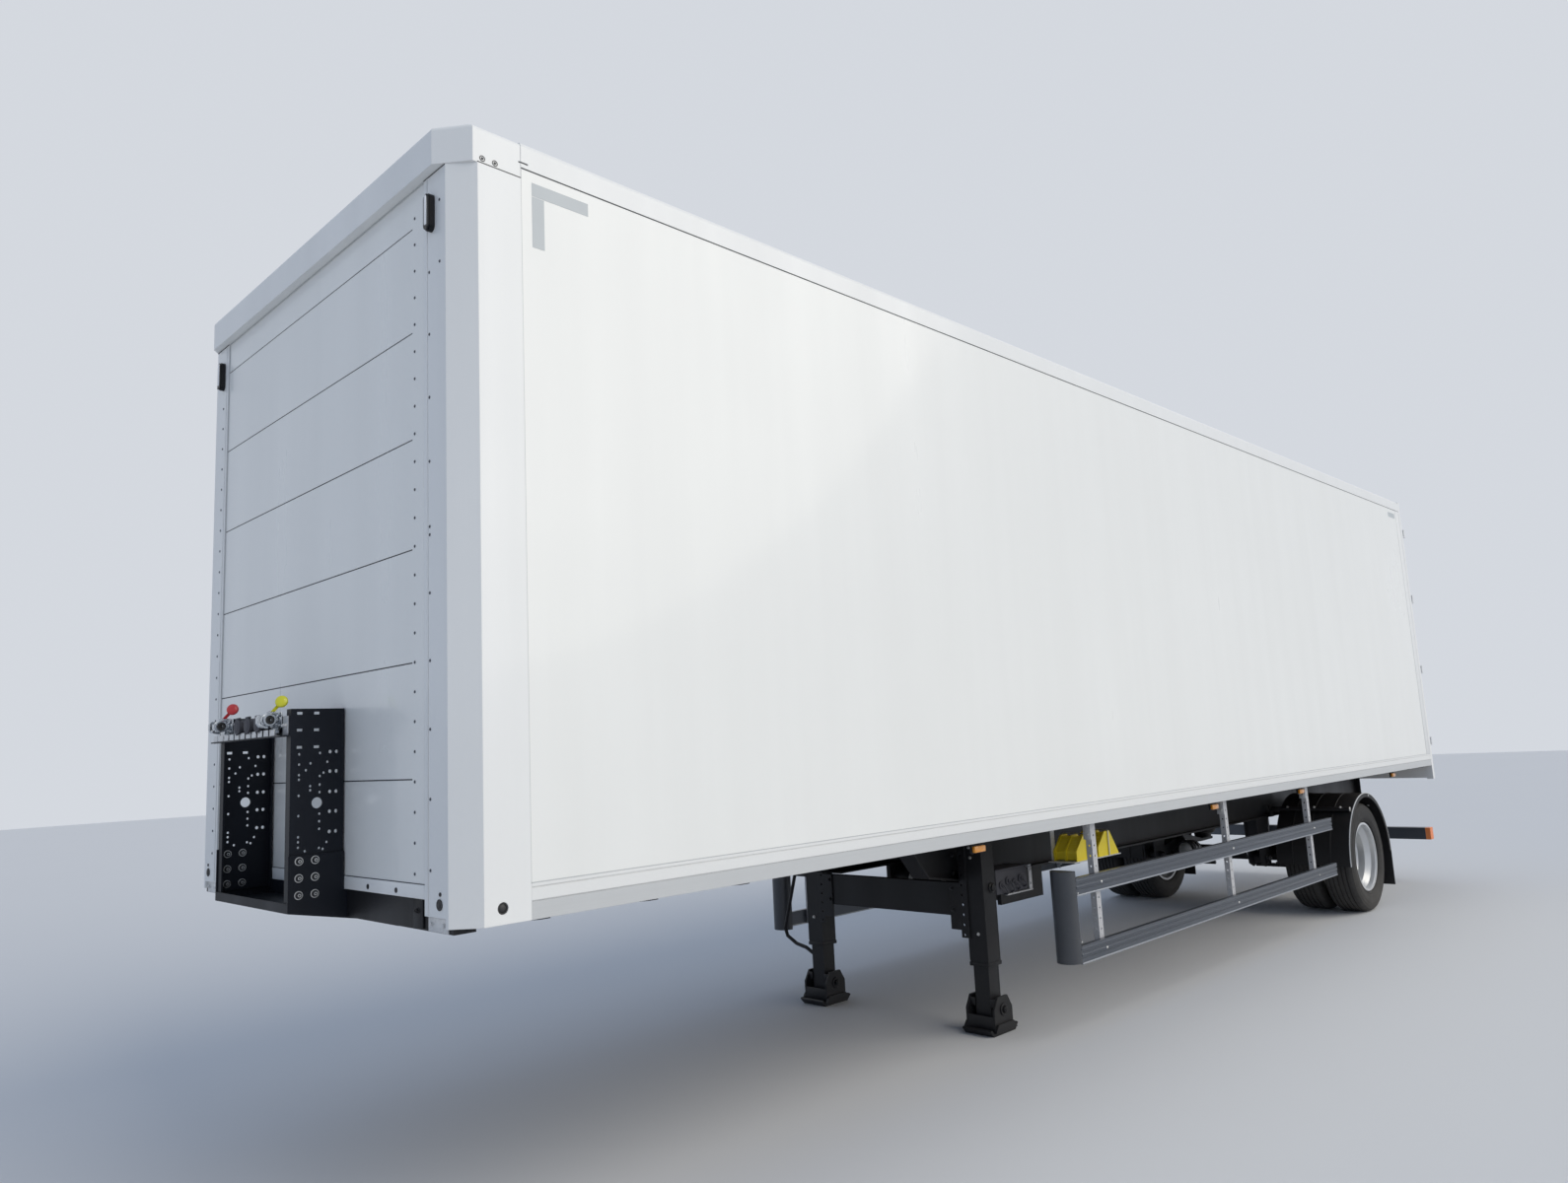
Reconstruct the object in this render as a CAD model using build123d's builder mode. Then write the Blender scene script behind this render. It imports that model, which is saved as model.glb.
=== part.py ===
"""Single-axle box semi trailer, in millimetres.

+X points to the front (the kingpin end), +Y to the left side and +Z up. The origin lies on the
ground, midway between the foremost and rearmost points. Distances called "back" are measured
rearwards from the front face of the box.
"""

import os
from math import cos, radians, sin

from build123d import *

os.makedirs("parts", exist_ok=True)

# Driving dimensions of the whole vehicle
width = 2550
height = 4000
body_length = 11150
floor_underside = 1180
rear_overhang = 2256
leg_back = 3720
kingpin_back = 1350
tyre_radius = 475
console_reach = 290
hinge_offset = 64
knuckle_radius = 14

half = width / 2
overall = console_reach + body_length + hinge_offset + knuckle_radius
x_face = overall / 2 - console_reach
x_rear = x_face - body_length
axle_back = body_length - rear_overhang

# Box shell
wall = 26
rail_wall = 28
rail_proud = 2
floor_thick = 30
roof_thick = 30
roof_drop = 5
front_recess = 6
front_wall_thick = 40
front_wall_bottom = floor_underside + 85
cap_height = 150
cap_round_width = 35
cap_set_in = 1.5
drip_slot_backs = (251, 291)
drip_slot_drop = 86
drip_slot_height = 6
drip_slot_depth = 3
top_rail_height = 105
bottom_rail_height = 120
rail_groove_depth = 3
rail_groove_height = 4
rail_groove_rises = (60, 105)
post_back = 260
post_facet_back = 82
post_facet = 84
post_flange = 161
post_inner_step = 12
post_notch_height = 32
post_notch_margin = 16
post_plug_back = 151
post_plug_rise = 53
post_plug_radius = 20
post_plug_depth = 8
cap_front = 33
cap_back = 64
cap_facet = 122
cap_edge_radius = 22
roof_edge_radius = 20
roof_ledge = 75
plank_pitch = 407
plank_top_drop = 300
plank_seam_count = 6
plank_groove_height = 5
plank_groove_depth = 4
plank_seam_stop = 100

# Rear frame and doors
rear_frame_depth = 60
rear_post_width = 60
rear_post_foot = 140
sill_depth = 130
header_depth = 130
door_thick = 38
door_gap = 9
hinge_pin_radius = 8
hinge_gap = 0.3
hinge_places = (0.08, 0.366, 0.653, 0.925)
knuckle_height = 70
lug_height = 9
lug_set_in = 12
backing_plate = 5
backing_set_in = 2
strap_thick = 6
strap_length = 230
strap_set_in = 2
strap_heel = 50
rod_radius = 13.5
rod_stand_off = 24
rod_places = (0.273, 0.75)
rod_overrun = 34
guide_places = (0.11, 0.51, 0.83)
guide_half_width = 30
guide_half_height = 22
guide_cover = 3
keeper_gap = 7
keeper_thick = 8
keeper_depth = 40
keeper_height = 45
keeper_drop = 4
handle_height = 1780
handle_length = 260
handle_thick = 10
handle_half_height = 16
catch_half_height = 24
catch_width = 50
catch_set_in = 10

# Chassis
beam_centre = 500
beam_web = 8
beam_flange_width = 120
beam_flange = 12
beam_bottom = 850
neck_bottom = 1090
neck_back = 3200
neck_knee_back = 3360
neck_knee_rise = 55
beam_full_back = 3700
cross_height = 90
cross_tip_height = 8
cross_width = 40
cross_flange = 6
cross_first_back = 330
cross_pitch = 470
cross_front_count = 7
chock_cross_back = 4670
cross_middle_backs = (3560, chock_cross_back, 5145, 5620, 6640, 7180)
cross_about_axle = (-644, 0, 506, 1006, 1506, 2006)
front_member = (15, 95)
front_member_drop = 19
front_member_inset = 75
king_plate_thick = 10
king_plate_front_back = 300
king_plate_rear_back = 2300
king_plate_half = 640
apron_rise = 55

# Two-inch kingpin: diameters and heights of its collar, neck and head
kingpin_collar = (73, 35)
kingpin_neck = (50.8, 35)
kingpin_head = (71.5, 14)

# Connection console at the front
tower_offset = 378
tower_plate = 8
tower_depth = 200
tower_flange = 42
tower_bottom = 1235
tower_top = 1945
console_bottom = 1200
console_tray = 10
console_lip = 5
cheek_top = 1405
coupling_shelf = (1843, 1920)
shelf_reach = 40
coupling_z = 1926
air_places = (-245, 283)
socket_places = (-55, 55, 160)

# Landing legs
leg_reach = 100
leg_tube = 127
leg_top = 1100
leg_split = 375
leg_plate = 10
leg_plate_bottom = 576
leg_plate_edge = 482
leg_strip_bottom = 532
leg_strip = (555, 612)
leg_hole_radius = 8
leg_hole_first = 549
leg_hole_pitch = 58
leg_hole_count = 9
leg_hole_inset = 15
drop_tube = 105
foot_width = 200
foot_cheek = 14
foot_axle_height = 135
foot_axle_radius = 22
brace_heights = (655, 848)
brace_half = 520
brace_plate = 10
brace_flange = 45
cross_shaft_radius = 14

# Side guards
guard_inset = 50
guard_rail_thick = 30
guard_rail_heights = ((785, 885), (410, 510))
guard_groove_places = (0.3, 0.62)
guard_groove_height = 6
guard_groove_depth = 4
guard_rear_gap = 814
nose_back = 3850
nose_radius = 75
nose_wall = 6
nose_heights = (415, 925)
post_backs = (4150, 6050, 7670)
post_width = 50
post_depth = 38
post_sheet = 4
post_hole_pitch = 60
post_hole_first = 440
post_hole_count = 12
post_hole_radius = 6

# Running gear
tyre_half_width = 136
twin_spacing = 311
outer_tyre_inset = 175
rim_radius = 286
rim_flange_radius = 299
rim_wall = 9
rim_well_radius = 258
disc_thick = 11
bead_gap = 0.3
hub_bore_radius = 140
hub_bore_gap = 1
hand_hole_radius = 22
hand_hole_circle = 213
hand_hole_count = 10
axle_tube_radius = 65
spindle_radius = 45
bearing_gap = 0.3
drum_radius = 205
drum_wall = 18
drum_depth = 150
shield_thick = 8
pivot_radius = 18
pivot_gap = 0.3
arm_eye_radius = 42
arm_half = 45
spring_radius = 130
spring_seat_radius = 85
spring_top_radius = 110
spring_top_plate = 20
spring_foot = 60
chamber_radius = 88
chamber_length = 190
chamber_offset = 330
tank_radius = 100
tank_drop = 6
tank_backs = (4340, 4580)
tank_strap = 30

# Mudguards
guard_clearance = 80
mudguard_sheet = 6
mudguard_gap = 13
mudguard_lip = 30
mudguard_front_angle = -3
flap_bottom = 165
stay_radius = 21
stay_angles = (50, 130)
stay_plate = 10
stay_plate_margin = 40

# Underrun bar, lamps and wheel chocks
underrun_heights = (420, 540)
underrun_front_gap = 120
underrun_depth = 100
underrun_inset = 125
underrun_cap = 45
underrun_plate = 10
underrun_plate_gap = 40
tail_lamp_depth = 28
tail_lamp_width = 340
tail_lamp_inset = 85
tail_lamp_rise = 10
tail_lamp_height = 90
front_marker_depth = 30
front_marker_width = 42
front_marker_inset = 202
front_marker_drops = (376, 233)
side_marker_backs = (2960, 5850, 7530, 10000)
side_marker_inset = 60
side_marker_length = 110
side_marker_depth = 30
side_marker_heights = (1118, 1162)
side_bracket_length = 80
side_bracket_depth = 25
chock_width = 160
chock_inset = 245
chock_bottom = 930
chock_rear_backs = (4480, 4745)
chock_tray = 6
chock_tray_rim = 10

floor_top = floor_underside + floor_thick
post_top = height - cap_height
rail_bottom = height - top_rail_height
roof_underside = height - roof_drop - roof_thick
post_flat = half - post_facet
post_flange_inner = half - post_facet - post_flange
front_wall_back = front_recess + front_wall_thick
frame_front_x = x_rear + rear_frame_depth
wall_outer = half - rail_proud
shell_inner = half - rail_wall
ledge_inner = half - roof_ledge
web_gap = beam_flange_width / 2
flange_edge = beam_centre + web_gap
leg_x = x_face - leg_back
leg_offset = flange_edge + leg_reach
guard_outer = half - guard_inset
outer_tyre_centre = half - outer_tyre_inset


def back(distance):
    """X of a point that lies this far behind the front face of the box."""
    return x_face - distance


def span(first, second):
    """X limits, low to high, of a stretch between two distances back."""
    return (min(back(first), back(second)), max(back(first), back(second)))


def about(middle, size):
    """Limits of a stretch of this size about its middle."""
    return (middle - size / 2, middle + size / 2)


def block(x, y, z, mode=Mode.ADD):
    """Add or cut a rectangular block between its limits along each axis."""
    middle = ((x[0] + x[1]) / 2, (y[0] + y[1]) / 2, (z[0] + z[1]) / 2)
    with Locations(middle):
        Box(abs(x[1] - x[0]), abs(y[1] - y[0]), abs(z[1] - z[0]), mode=mode)


def prism(plane, points, length, mode=Mode.ADD):
    """Add or cut a straight bar with this outline, along the plane's normal."""
    with BuildSketch(plane) as outline:
        with BuildLine():
            Polyline(*points, close=True)
        make_face()
    extrude(outline.sketch, amount=length, dir=plane.z_dir, mode=mode)


def round_bar(start, direction, length, radius, mode=Mode.ADD):
    """Add or cut a round bar that begins at start and runs along direction."""
    plane = Plane(start, z_dir=direction)
    with BuildSketch(plane) as outline:
        Circle(radius)
    extrude(outline.sketch, amount=length, dir=plane.z_dir, mode=mode)


def round_holes(plane, centres, radius, depth):
    """Cut round holes of one size, from the plane along its normal."""
    with BuildSketch(plane) as outline:
        with Locations(*centres):
            Circle(radius)
    extrude(outline.sketch, amount=depth, dir=plane.z_dir, mode=Mode.SUBTRACT)


def plan(z):
    """Plane for outlines seen from above, in X and Y."""
    return Plane.XY.offset(z)


def section(x):
    """Plane for outlines seen from the front, in Y and Z, extruded forwards."""
    return Plane.YZ.offset(x)


def side_view(y):
    """Plane for outlines seen from the side, in X and Z, extruded towards -Y from y."""
    return Plane((0, y, 0), x_dir=(1, 0, 0), z_dir=(0, -1, 0))


def save(builder, name):
    """Label a finished sub-part and write its STEP file."""
    builder.part.label = name
    export_step(builder.part, f"parts/{name}.step")


def save_pair(left, name):
    """Write a left-hand sub-part and, as a node of its own, its mirror image on the right."""
    save(left, f"{name}_left")
    with BuildPart() as right:
        mirror(left.part, about=Plane.XZ)
    save(right, f"{name}_right")


def save_both(left, name):
    """Write a left-hand sub-part and its mirror image as the two sides of one node."""
    with BuildPart() as pair:
        add(left.part)
        mirror(left.part, about=Plane.XZ)
    save(pair, name)


# Box shell: floor, walls, roof, rails, corner posts and front cap
with BuildPart() as floor_panel:
    block((frame_front_x, back(front_member[1])), (-shell_inner, shell_inner),
          (floor_underside, floor_top))
save(floor_panel, "floor_panel")

with BuildPart() as front_wall:
    block(span(front_recess, front_wall_back), (-post_flange_inner, post_flange_inner),
          (front_wall_bottom, post_top))
    for index in range(plank_seam_count):
        seam = height - plank_top_drop - index * plank_pitch
        block(span(front_recess, front_recess + plank_groove_depth),
              (-post_flange_inner, post_flange_inner - plank_seam_stop),
              about(seam, plank_groove_height), Mode.SUBTRACT)
save(front_wall, "front_wall")

with BuildPart() as side_wall:
    block((frame_front_x, back(post_back)), (wall_outer - wall, wall_outer),
          (floor_underside + bottom_rail_height, rail_bottom))
save_both(side_wall, "side_walls")

with BuildPart() as bottom_rail:
    block((frame_front_x, back(post_back)), (shell_inner, half),
          (floor_underside, floor_underside + bottom_rail_height))
    for rise in rail_groove_rises:
        level = floor_underside + rise
        block((frame_front_x, back(post_back)), (half - rail_groove_depth, half),
              (level, level + rail_groove_height), Mode.SUBTRACT)
save_both(bottom_rail, "bottom_rails")

with BuildPart() as top_rail:
    corner_cut = roof_edge_radius * 0.3
    rail_outline = ((half, rail_bottom), (half, height - roof_edge_radius),
                    (half - corner_cut, height - corner_cut),
                    (half - roof_edge_radius, height), (ledge_inner, height),
                    (ledge_inner, roof_underside), (shell_inner, roof_underside),
                    (shell_inner, rail_bottom))
    prism(section(frame_front_x), rail_outline, back(post_back) - frame_front_x)
    block(span(*drip_slot_backs), (half - drip_slot_depth, half),
          about(height - drip_slot_drop, drip_slot_height), Mode.SUBTRACT)
save_both(top_rail, "top_rails")

with BuildPart() as roof_panel:
    block((frame_front_x, back(cap_back)), (-ledge_inner, ledge_inner),
          (roof_underside, height - roof_drop))
save(roof_panel, "roof_panel")

with BuildPart() as corner_post:
    post_outline = ((back(0), post_flange_inner), (back(0), post_flat),
                    (back(post_facet_back), half), (back(post_back), half),
                    (back(post_back), shell_inner),
                    (back(post_facet_back + post_inner_step), shell_inner),
                    (back(front_wall_back), post_flat - post_inner_step),
                    (back(front_wall_back), post_flange_inner))
    prism(plan(floor_underside), post_outline, post_top - floor_underside)
    block(span(0, front_member[0]), (post_flange_inner, post_flat - post_notch_margin),
          (floor_underside, floor_underside + post_notch_height), Mode.SUBTRACT)
    round_holes(side_view(half), [(back(post_plug_back), floor_underside + post_plug_rise)],
                post_plug_radius, post_plug_depth)
save_both(corner_post, "corner_posts")

# The cap reaches back over both corner posts as far as the top rails
cap_half = half - cap_set_in
with BuildPart() as cap_arm:
    cap_shoulder = [(cap_half - cap_round_width * (1 - cos(radians(turn))),
                     height - cap_edge_radius * (1 - sin(radians(turn))))
                    for turn in (0, 25, 45, 65, 90)]
    cap_arm_outline = [(cap_half, post_top), *cap_shoulder, (ledge_inner, height),
                       (ledge_inner, roof_underside), (shell_inner, roof_underside),
                       (shell_inner, post_top)]
    prism(section(back(post_back)), cap_arm_outline, post_back - cap_back)
    block(span(*drip_slot_backs), (cap_half - drip_slot_depth, cap_half),
          about(height - drip_slot_drop, drip_slot_height), Mode.SUBTRACT)

with BuildPart() as front_cap:
    cap_outline = ((back(-cap_front), -(half - cap_facet)), (back(-cap_front), half - cap_facet),
                   (back(cap_back), cap_half), (back(cap_back), -cap_half))
    prism(plan(post_top), cap_outline, cap_height)
    top_edges = front_cap.faces().sort_by(Axis.Z)[-1].edges()
    fillet(top_edges.sort_by(Axis.X)[1:], radius=cap_edge_radius)
    add(cap_arm.part)
    mirror(cap_arm.part, about=Plane.XZ)
save(front_cap, "front_cap")

# Rear frame, welded in one piece: two posts, the header over the doors and the sill
rear_post_inner = half - rear_post_width
header_bottom = height - header_depth
with BuildPart() as rear_frame:
    block((x_rear, frame_front_x), (-half, half), (floor_underside - rear_post_foot, height))
    for z in ((floor_top, header_bottom),
              (floor_underside - rear_post_foot, floor_underside - sill_depth)):
        block((x_rear, frame_front_x), (-rear_post_inner, rear_post_inner), z, Mode.SUBTRACT)
save(rear_frame, "rear_frame")

# Rear doors, each hung on four hinges and shut by two lock rods
pin_x = x_rear - hinge_offset
pin_y = half - knuckle_radius
door_outer = rear_post_inner - door_gap
door_bottom = floor_top + door_gap
door_top = header_bottom - door_gap
door_height = door_top - door_bottom
hinge_heights = tuple(door_bottom + place * door_height for place in hinge_places)
guide_heights = tuple(door_bottom + place * door_height for place in guide_places)

with BuildPart() as rear_door:
    block((x_rear, x_rear + door_thick), (door_gap / 2, door_outer), (door_bottom, door_top))
save_pair(rear_door, "rear_door")

rod_x = x_rear - rod_stand_off
strap_root = knuckle_radius * 0.6
# Each row: distance of the rod from the middle of the vehicle, side its handle points to
lock_rods = ((rod_places[0] * door_outer, 1), (rod_places[1] * door_outer, -1))
with BuildPart() as door_fittings:
    for level in hinge_heights:
        strap_outline = ((pin_x - strap_root, pin_y - strap_root),
                         (pin_x + strap_root, pin_y + strap_root),
                         (x_rear, door_outer - strap_set_in), (x_rear, door_outer - strap_length),
                         (x_rear - strap_thick, door_outer - strap_length),
                         (x_rear - strap_thick, door_outer - strap_heel))
        low = level - knuckle_height / 2
        prism(plan(low), strap_outline, knuckle_height)
        round_bar((pin_x, pin_y, low), (0, 0, 1), knuckle_height, knuckle_radius)
        round_bar((pin_x, pin_y, low), (0, 0, 1), knuckle_height, hinge_pin_radius + hinge_gap,
                  Mode.SUBTRACT)
    for place, toward in lock_rods:
        round_bar((rod_x, place, door_bottom - rod_overrun), (0, 0, 1),
                  door_height + 2 * rod_overrun, rod_radius)
        for level in guide_heights:
            block((rod_x - rod_radius - guide_cover, x_rear), about(place, 2 * guide_half_width),
                  about(level, 2 * guide_half_height))
        tip = place + toward * handle_length
        block(about(rod_x, handle_thick), sorted((place, tip)),
              about(handle_height, 2 * handle_half_height))
        catch = sorted((tip - toward * catch_set_in, tip - toward * (catch_set_in + catch_width)))
        block((rod_x + handle_thick / 2, x_rear), catch, about(handle_height, 2 * catch_half_height))
save_pair(door_fittings, "door_fittings")

lug_inner = rear_post_inner + lug_set_in
with BuildPart() as frame_fittings:
    for level in hinge_heights:
        reach = knuckle_height / 2 + hinge_gap
        for low in (level - reach - lug_height, level + reach):
            block((pin_x, x_rear), (lug_inner, half), (low, low + lug_height))
            round_bar((pin_x, pin_y, low), (0, 0, 1), lug_height, knuckle_radius)
        block((x_rear - backing_plate, x_rear), (lug_inner, half - backing_set_in),
              about(level, 2 * (reach + lug_height)))
        round_bar((pin_x, pin_y, level - reach - lug_height), (0, 0, 1), 2 * (reach + lug_height),
                  hinge_pin_radius)
    for place, toward in lock_rods:
        for low in (header_bottom, floor_top - keeper_height):
            for side in (-1, 1):
                near = place + side * (rod_radius + keeper_gap)
                block((x_rear - keeper_depth, x_rear), sorted((near, near + side * keeper_thick)),
                      (low, low + keeper_height - keeper_drop))
save_both(frame_fittings, "frame_fittings")

# Chassis beams with the raised neck over the tractor
beam_front = back(front_member[1] + king_plate_thick)
beam_rear = x_rear + rear_frame_depth
beam_outline = ((beam_front, floor_underside), (beam_front, neck_bottom + apron_rise),
                (back(king_plate_front_back), neck_bottom), (back(neck_back), neck_bottom),
                (back(neck_knee_back), beam_bottom + neck_knee_rise),
                (back(beam_full_back), beam_bottom), (beam_rear, beam_bottom),
                (beam_rear, floor_underside))
with BuildPart() as chassis_beam:
    prism(side_view(flange_edge), beam_outline, beam_flange_width)
    for outer in (flange_edge, beam_centre - beam_web / 2):
        plane = side_view(outer)
        with BuildSketch(plane) as pocket_outline:
            with BuildLine():
                Polyline(*beam_outline, close=True)
            make_face()
            offset(amount=-beam_flange, mode=Mode.REPLACE)
        extrude(pocket_outline.sketch, amount=(beam_flange_width - beam_web) / 2, dir=plane.z_dir,
                mode=Mode.SUBTRACT)
save_both(chassis_beam, "chassis_beams")

# Cross members: channels between the beams, tapered out to the rails, and the front member
beam_inner = beam_centre - web_gap
post_cross_backs = tuple(post + (post_width + cross_width) / 2 for post in post_backs)
cross_backs = (tuple(cross_first_back + cross_pitch * index for index in range(cross_front_count))
               + cross_middle_backs + post_cross_backs
               + tuple(axle_back + distance for distance in cross_about_axle))
cross_bottom = floor_underside - cross_height
cross_tip = floor_underside - cross_tip_height
with BuildPart() as outrigger:
    block(about(0, cross_width), (flange_edge, shell_inner),
          (floor_underside - cross_flange, floor_underside))
    prism(section(-cross_width / 2), ((flange_edge, cross_bottom), (flange_edge, floor_underside),
                                      (shell_inner, floor_underside), (shell_inner, cross_tip)),
          cross_flange)
    prism(section(-cross_width / 2), ((flange_edge, cross_bottom),
                                      (flange_edge, cross_bottom + cross_flange),
                                      (shell_inner, cross_tip + cross_flange),
                                      (shell_inner, cross_tip)), cross_width)

with BuildPart() as cross_member:
    middle_y = (-beam_inner, beam_inner)
    block(about(0, cross_width), middle_y, (floor_underside - cross_flange, floor_underside))
    block(about(0, cross_width), middle_y, (cross_bottom, cross_bottom + cross_flange))
    block((-cross_width / 2, cross_flange - cross_width / 2), middle_y,
          (cross_bottom, floor_underside))
    add(outrigger.part)
    mirror(outrigger.part, about=Plane.XZ)

with BuildPart() as cross_members:
    block(span(*front_member), (-post_flange_inner, post_flange_inner),
          (floor_underside, front_wall_bottom))
    block(span(front_wall_back, front_member[1]),
          (post_inner_step - post_flat, post_flat - post_inner_step), (floor_underside, floor_top))
    block(span(*front_member), (front_member_inset - half, half - front_member_inset),
          (floor_underside - front_member_drop, floor_underside))
    with Locations(*[(back(station), 0, 0) for station in cross_backs]):
        add(cross_member.part)
save(cross_members, "cross_members")

plate_bottom = neck_bottom - king_plate_thick
apron_outline = ((back(king_plate_front_back), neck_bottom), (beam_front, neck_bottom + apron_rise),
                 (beam_front, plate_bottom + apron_rise), (back(king_plate_front_back), plate_bottom))
with BuildPart() as king_plate:
    block(span(king_plate_front_back, king_plate_rear_back), (-king_plate_half, king_plate_half),
          (plate_bottom, neck_bottom))
    prism(side_view(king_plate_half), apron_outline, 2 * king_plate_half)
    block(span(front_member[1], front_member[1] + king_plate_thick),
          (-king_plate_half, king_plate_half), (plate_bottom + apron_rise, floor_underside))
save(king_plate, "king_plate")

with BuildPart() as kingpin:
    level = plate_bottom
    for diameter, length in (kingpin_collar, kingpin_neck, kingpin_head):
        round_bar((back(kingpin_back), 0, level), (0, 0, -1), length, diameter / 2)
        level -= length
save(kingpin, "kingpin")

# Connection console: a tray, two perforated towers and the shelf between them
tray_half = tower_offset + tower_plate
tray_front = tower_depth + console_lip
member_bottom = floor_underside - front_member_drop
gusset_back = 60
gusset_drop = 14
gusset_outline = ((back(-tray_front), console_bottom), (back(front_member[0]), console_bottom),
                  (back(front_member[0]), member_bottom), (back(gusset_back), member_bottom),
                  (back(gusset_back), member_bottom - gusset_drop))
with BuildPart() as console_tray_part:
    block(span(0, -tray_front), (-tray_half, tray_half),
          (console_bottom, console_bottom + console_tray))
    block(span(-tower_depth, -tray_front), (-tray_half, tray_half), (console_bottom, tower_bottom))
    block(span(0, front_member[0]), (-tray_half, tray_half), (console_bottom, front_wall_bottom))
    for cheek in ((tower_offset, tray_half), (-tray_half, -tower_offset)):
        block(span(0, -tray_front), cheek, (console_bottom, cheek_top))
        prism(side_view(cheek[1]), gusset_outline, tower_plate)
save(console_tray_part, "console_tray")

# Each row: distance in front of the box, hole radius, heights of the holes
tower_holes = (
    (167, 5, (1775, 1737, 1698, 1681, 1622, 1548, 1471, 1453, 1433)),
    (90, 5, (1777, 1691, 1659, 1631, 1551, 1523, 1495, 1425)),
    (62, 5, (1743, 1444)),
    (76, 5, (1703, 1420)),
    (142, 5, (1715, 1418)),
    (125, 5, (1740, 1655, 1640)),
    (52, 7, (1781, 1707, 1631, 1557, 1482)),
    (28, 7, (1781, 1707, 1631, 1557, 1482)),
    (100, 20.5, (1592,)),
)
slot_reaches = (167, 104)
slot_heights = (1928, 1865, 1801)
slot_length = 22
slot_height = 10
tower_inner = tower_offset - tower_plate
with BuildPart() as connection_tower:
    block(span(0, -tower_depth), (tower_inner, tower_offset), (tower_bottom, tower_top))
    for x in (span(0, -tower_plate), span(-tower_depth + tower_plate, -tower_depth)):
        block(x, (tower_offset - tower_flange, tower_offset), (tower_bottom, tower_top))
    for reach, radius, levels in tower_holes:
        round_holes(side_view(tower_offset), [(back(-reach), level) for level in levels], radius,
                    tower_plate)
    for reach in slot_reaches:
        for level in slot_heights:
            block(about(back(-reach), slot_length), (tower_inner, tower_offset),
                  about(level, slot_height), Mode.SUBTRACT)
    block(span(-tower_depth, -tray_front), (0, tower_offset), coupling_shelf)
    block(span(-tray_front, -tower_depth - shelf_reach), (0, tower_offset),
          (coupling_shelf[0], coupling_shelf[0] + console_lip))
save_both(connection_tower, "connection_towers")

# Air coupling heads: a square body with a nozzle forwards and a sprung cap on top
air_body = 45
air_body_half = 28
air_body_heights = (coupling_z - 50, coupling_z + 14)
nozzle_radius = 24
nozzle_z = coupling_z - 18
cap_stem_radius = 9
cap_stem_reach = 10
cap_stem_shift = 14
cap_stem_height = 42
cap_radius = 28
cap_thick = 14
with BuildPart() as air_couplings:
    for y in air_places:
        block(span(-tray_front, -tray_front - air_body), about(y, 2 * air_body_half),
              air_body_heights)
        round_bar((back(-tray_front - air_body), y, nozzle_z), (1, 0, 0),
                  console_reach - tray_front - air_body, nozzle_radius)
        stem_x = back(-tray_front - cap_stem_reach)
        stem_y = y + cap_stem_shift
        stem_base = air_body_heights[1] - cap_stem_radius
        round_bar((stem_x, stem_y, stem_base), (0, 0, 1), cap_stem_height, cap_stem_radius)
        round_bar((stem_x, stem_y, stem_base + cap_stem_height - cap_thick / 2), (0.4, 0, 1),
                  cap_thick, cap_radius)
save(air_couplings, "air_couplings")

socket_radius = 30
socket_length = 38
socket_lid = 9
socket_lid_half = 34
socket_z = coupling_z - 28
with BuildPart() as electric_sockets:
    for y in socket_places:
        round_bar((back(-tray_front), y, socket_z), (1, 0, 0), socket_length, socket_radius)
        block(span(-tray_front - socket_length, -tray_front - socket_length - socket_lid),
              about(y, 2 * socket_lid_half), about(socket_z, 2 * socket_lid_half))
save(electric_sockets, "electric_sockets")

# Landing legs: fixed tube with its bolted plate, drop tube on a rocking foot, brace and crank
leg_inner = leg_offset - leg_tube / 2
leg_outer = leg_offset + leg_tube / 2
leg_front = leg_x + leg_tube / 2
leg_plate_outline = ((leg_strip[1], leg_strip_bottom), (leg_strip[1], floor_underside),
                     (flange_edge, floor_underside), (flange_edge, beam_bottom),
                     (leg_plate_edge, beam_bottom), (leg_plate_edge, leg_plate_bottom),
                     (leg_strip[0], leg_plate_bottom), (leg_strip[0], leg_strip_bottom))
with BuildPart() as landing_leg:
    block(about(leg_x, leg_tube), (leg_inner, leg_outer), (leg_split, leg_top))
    prism(section(leg_front), leg_plate_outline, leg_plate)
    round_holes(section(leg_front), [(flange_edge + leg_hole_inset, leg_hole_first
                                      + index * leg_hole_pitch) for index in range(leg_hole_count)],
                leg_hole_radius, leg_plate)
    block(about(leg_x, leg_tube), (flange_edge, leg_inner), (beam_bottom, floor_underside))
    block(about(leg_x, leg_tube), (flange_edge, leg_outer), (leg_top, floor_underside))
save_both(landing_leg, "landing_legs")

# Foot pad and cheek seen from the side: distance from the middle of the leg, height
foot_pad = ((-140, 34), (-110, 0), (110, 0), (140, 34), (130, 42), (98, 16), (-98, 16), (-130, 42))
foot_cheek_outline = ((-92, 12), (-92, 140), (-50, 208), (50, 208), (92, 140), (92, 12))
drop_tube_end = 60
with BuildPart() as landing_foot:
    block(about(leg_x, drop_tube), about(leg_offset, drop_tube),
          (foot_axle_height - drop_tube_end, leg_split))
    round_bar((leg_x, leg_offset - foot_width / 2, foot_axle_height), (0, 1, 0), foot_width,
              foot_axle_radius)
    for y in (leg_offset - foot_width / 2 + foot_cheek, leg_offset + foot_width / 2):
        prism(side_view(y), [(leg_x + x, z) for x, z in foot_cheek_outline], foot_cheek)
    prism(side_view(leg_offset + foot_width / 2), [(leg_x + x, z) for x, z in foot_pad], foot_width)
save_both(landing_foot, "landing_feet")

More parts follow.
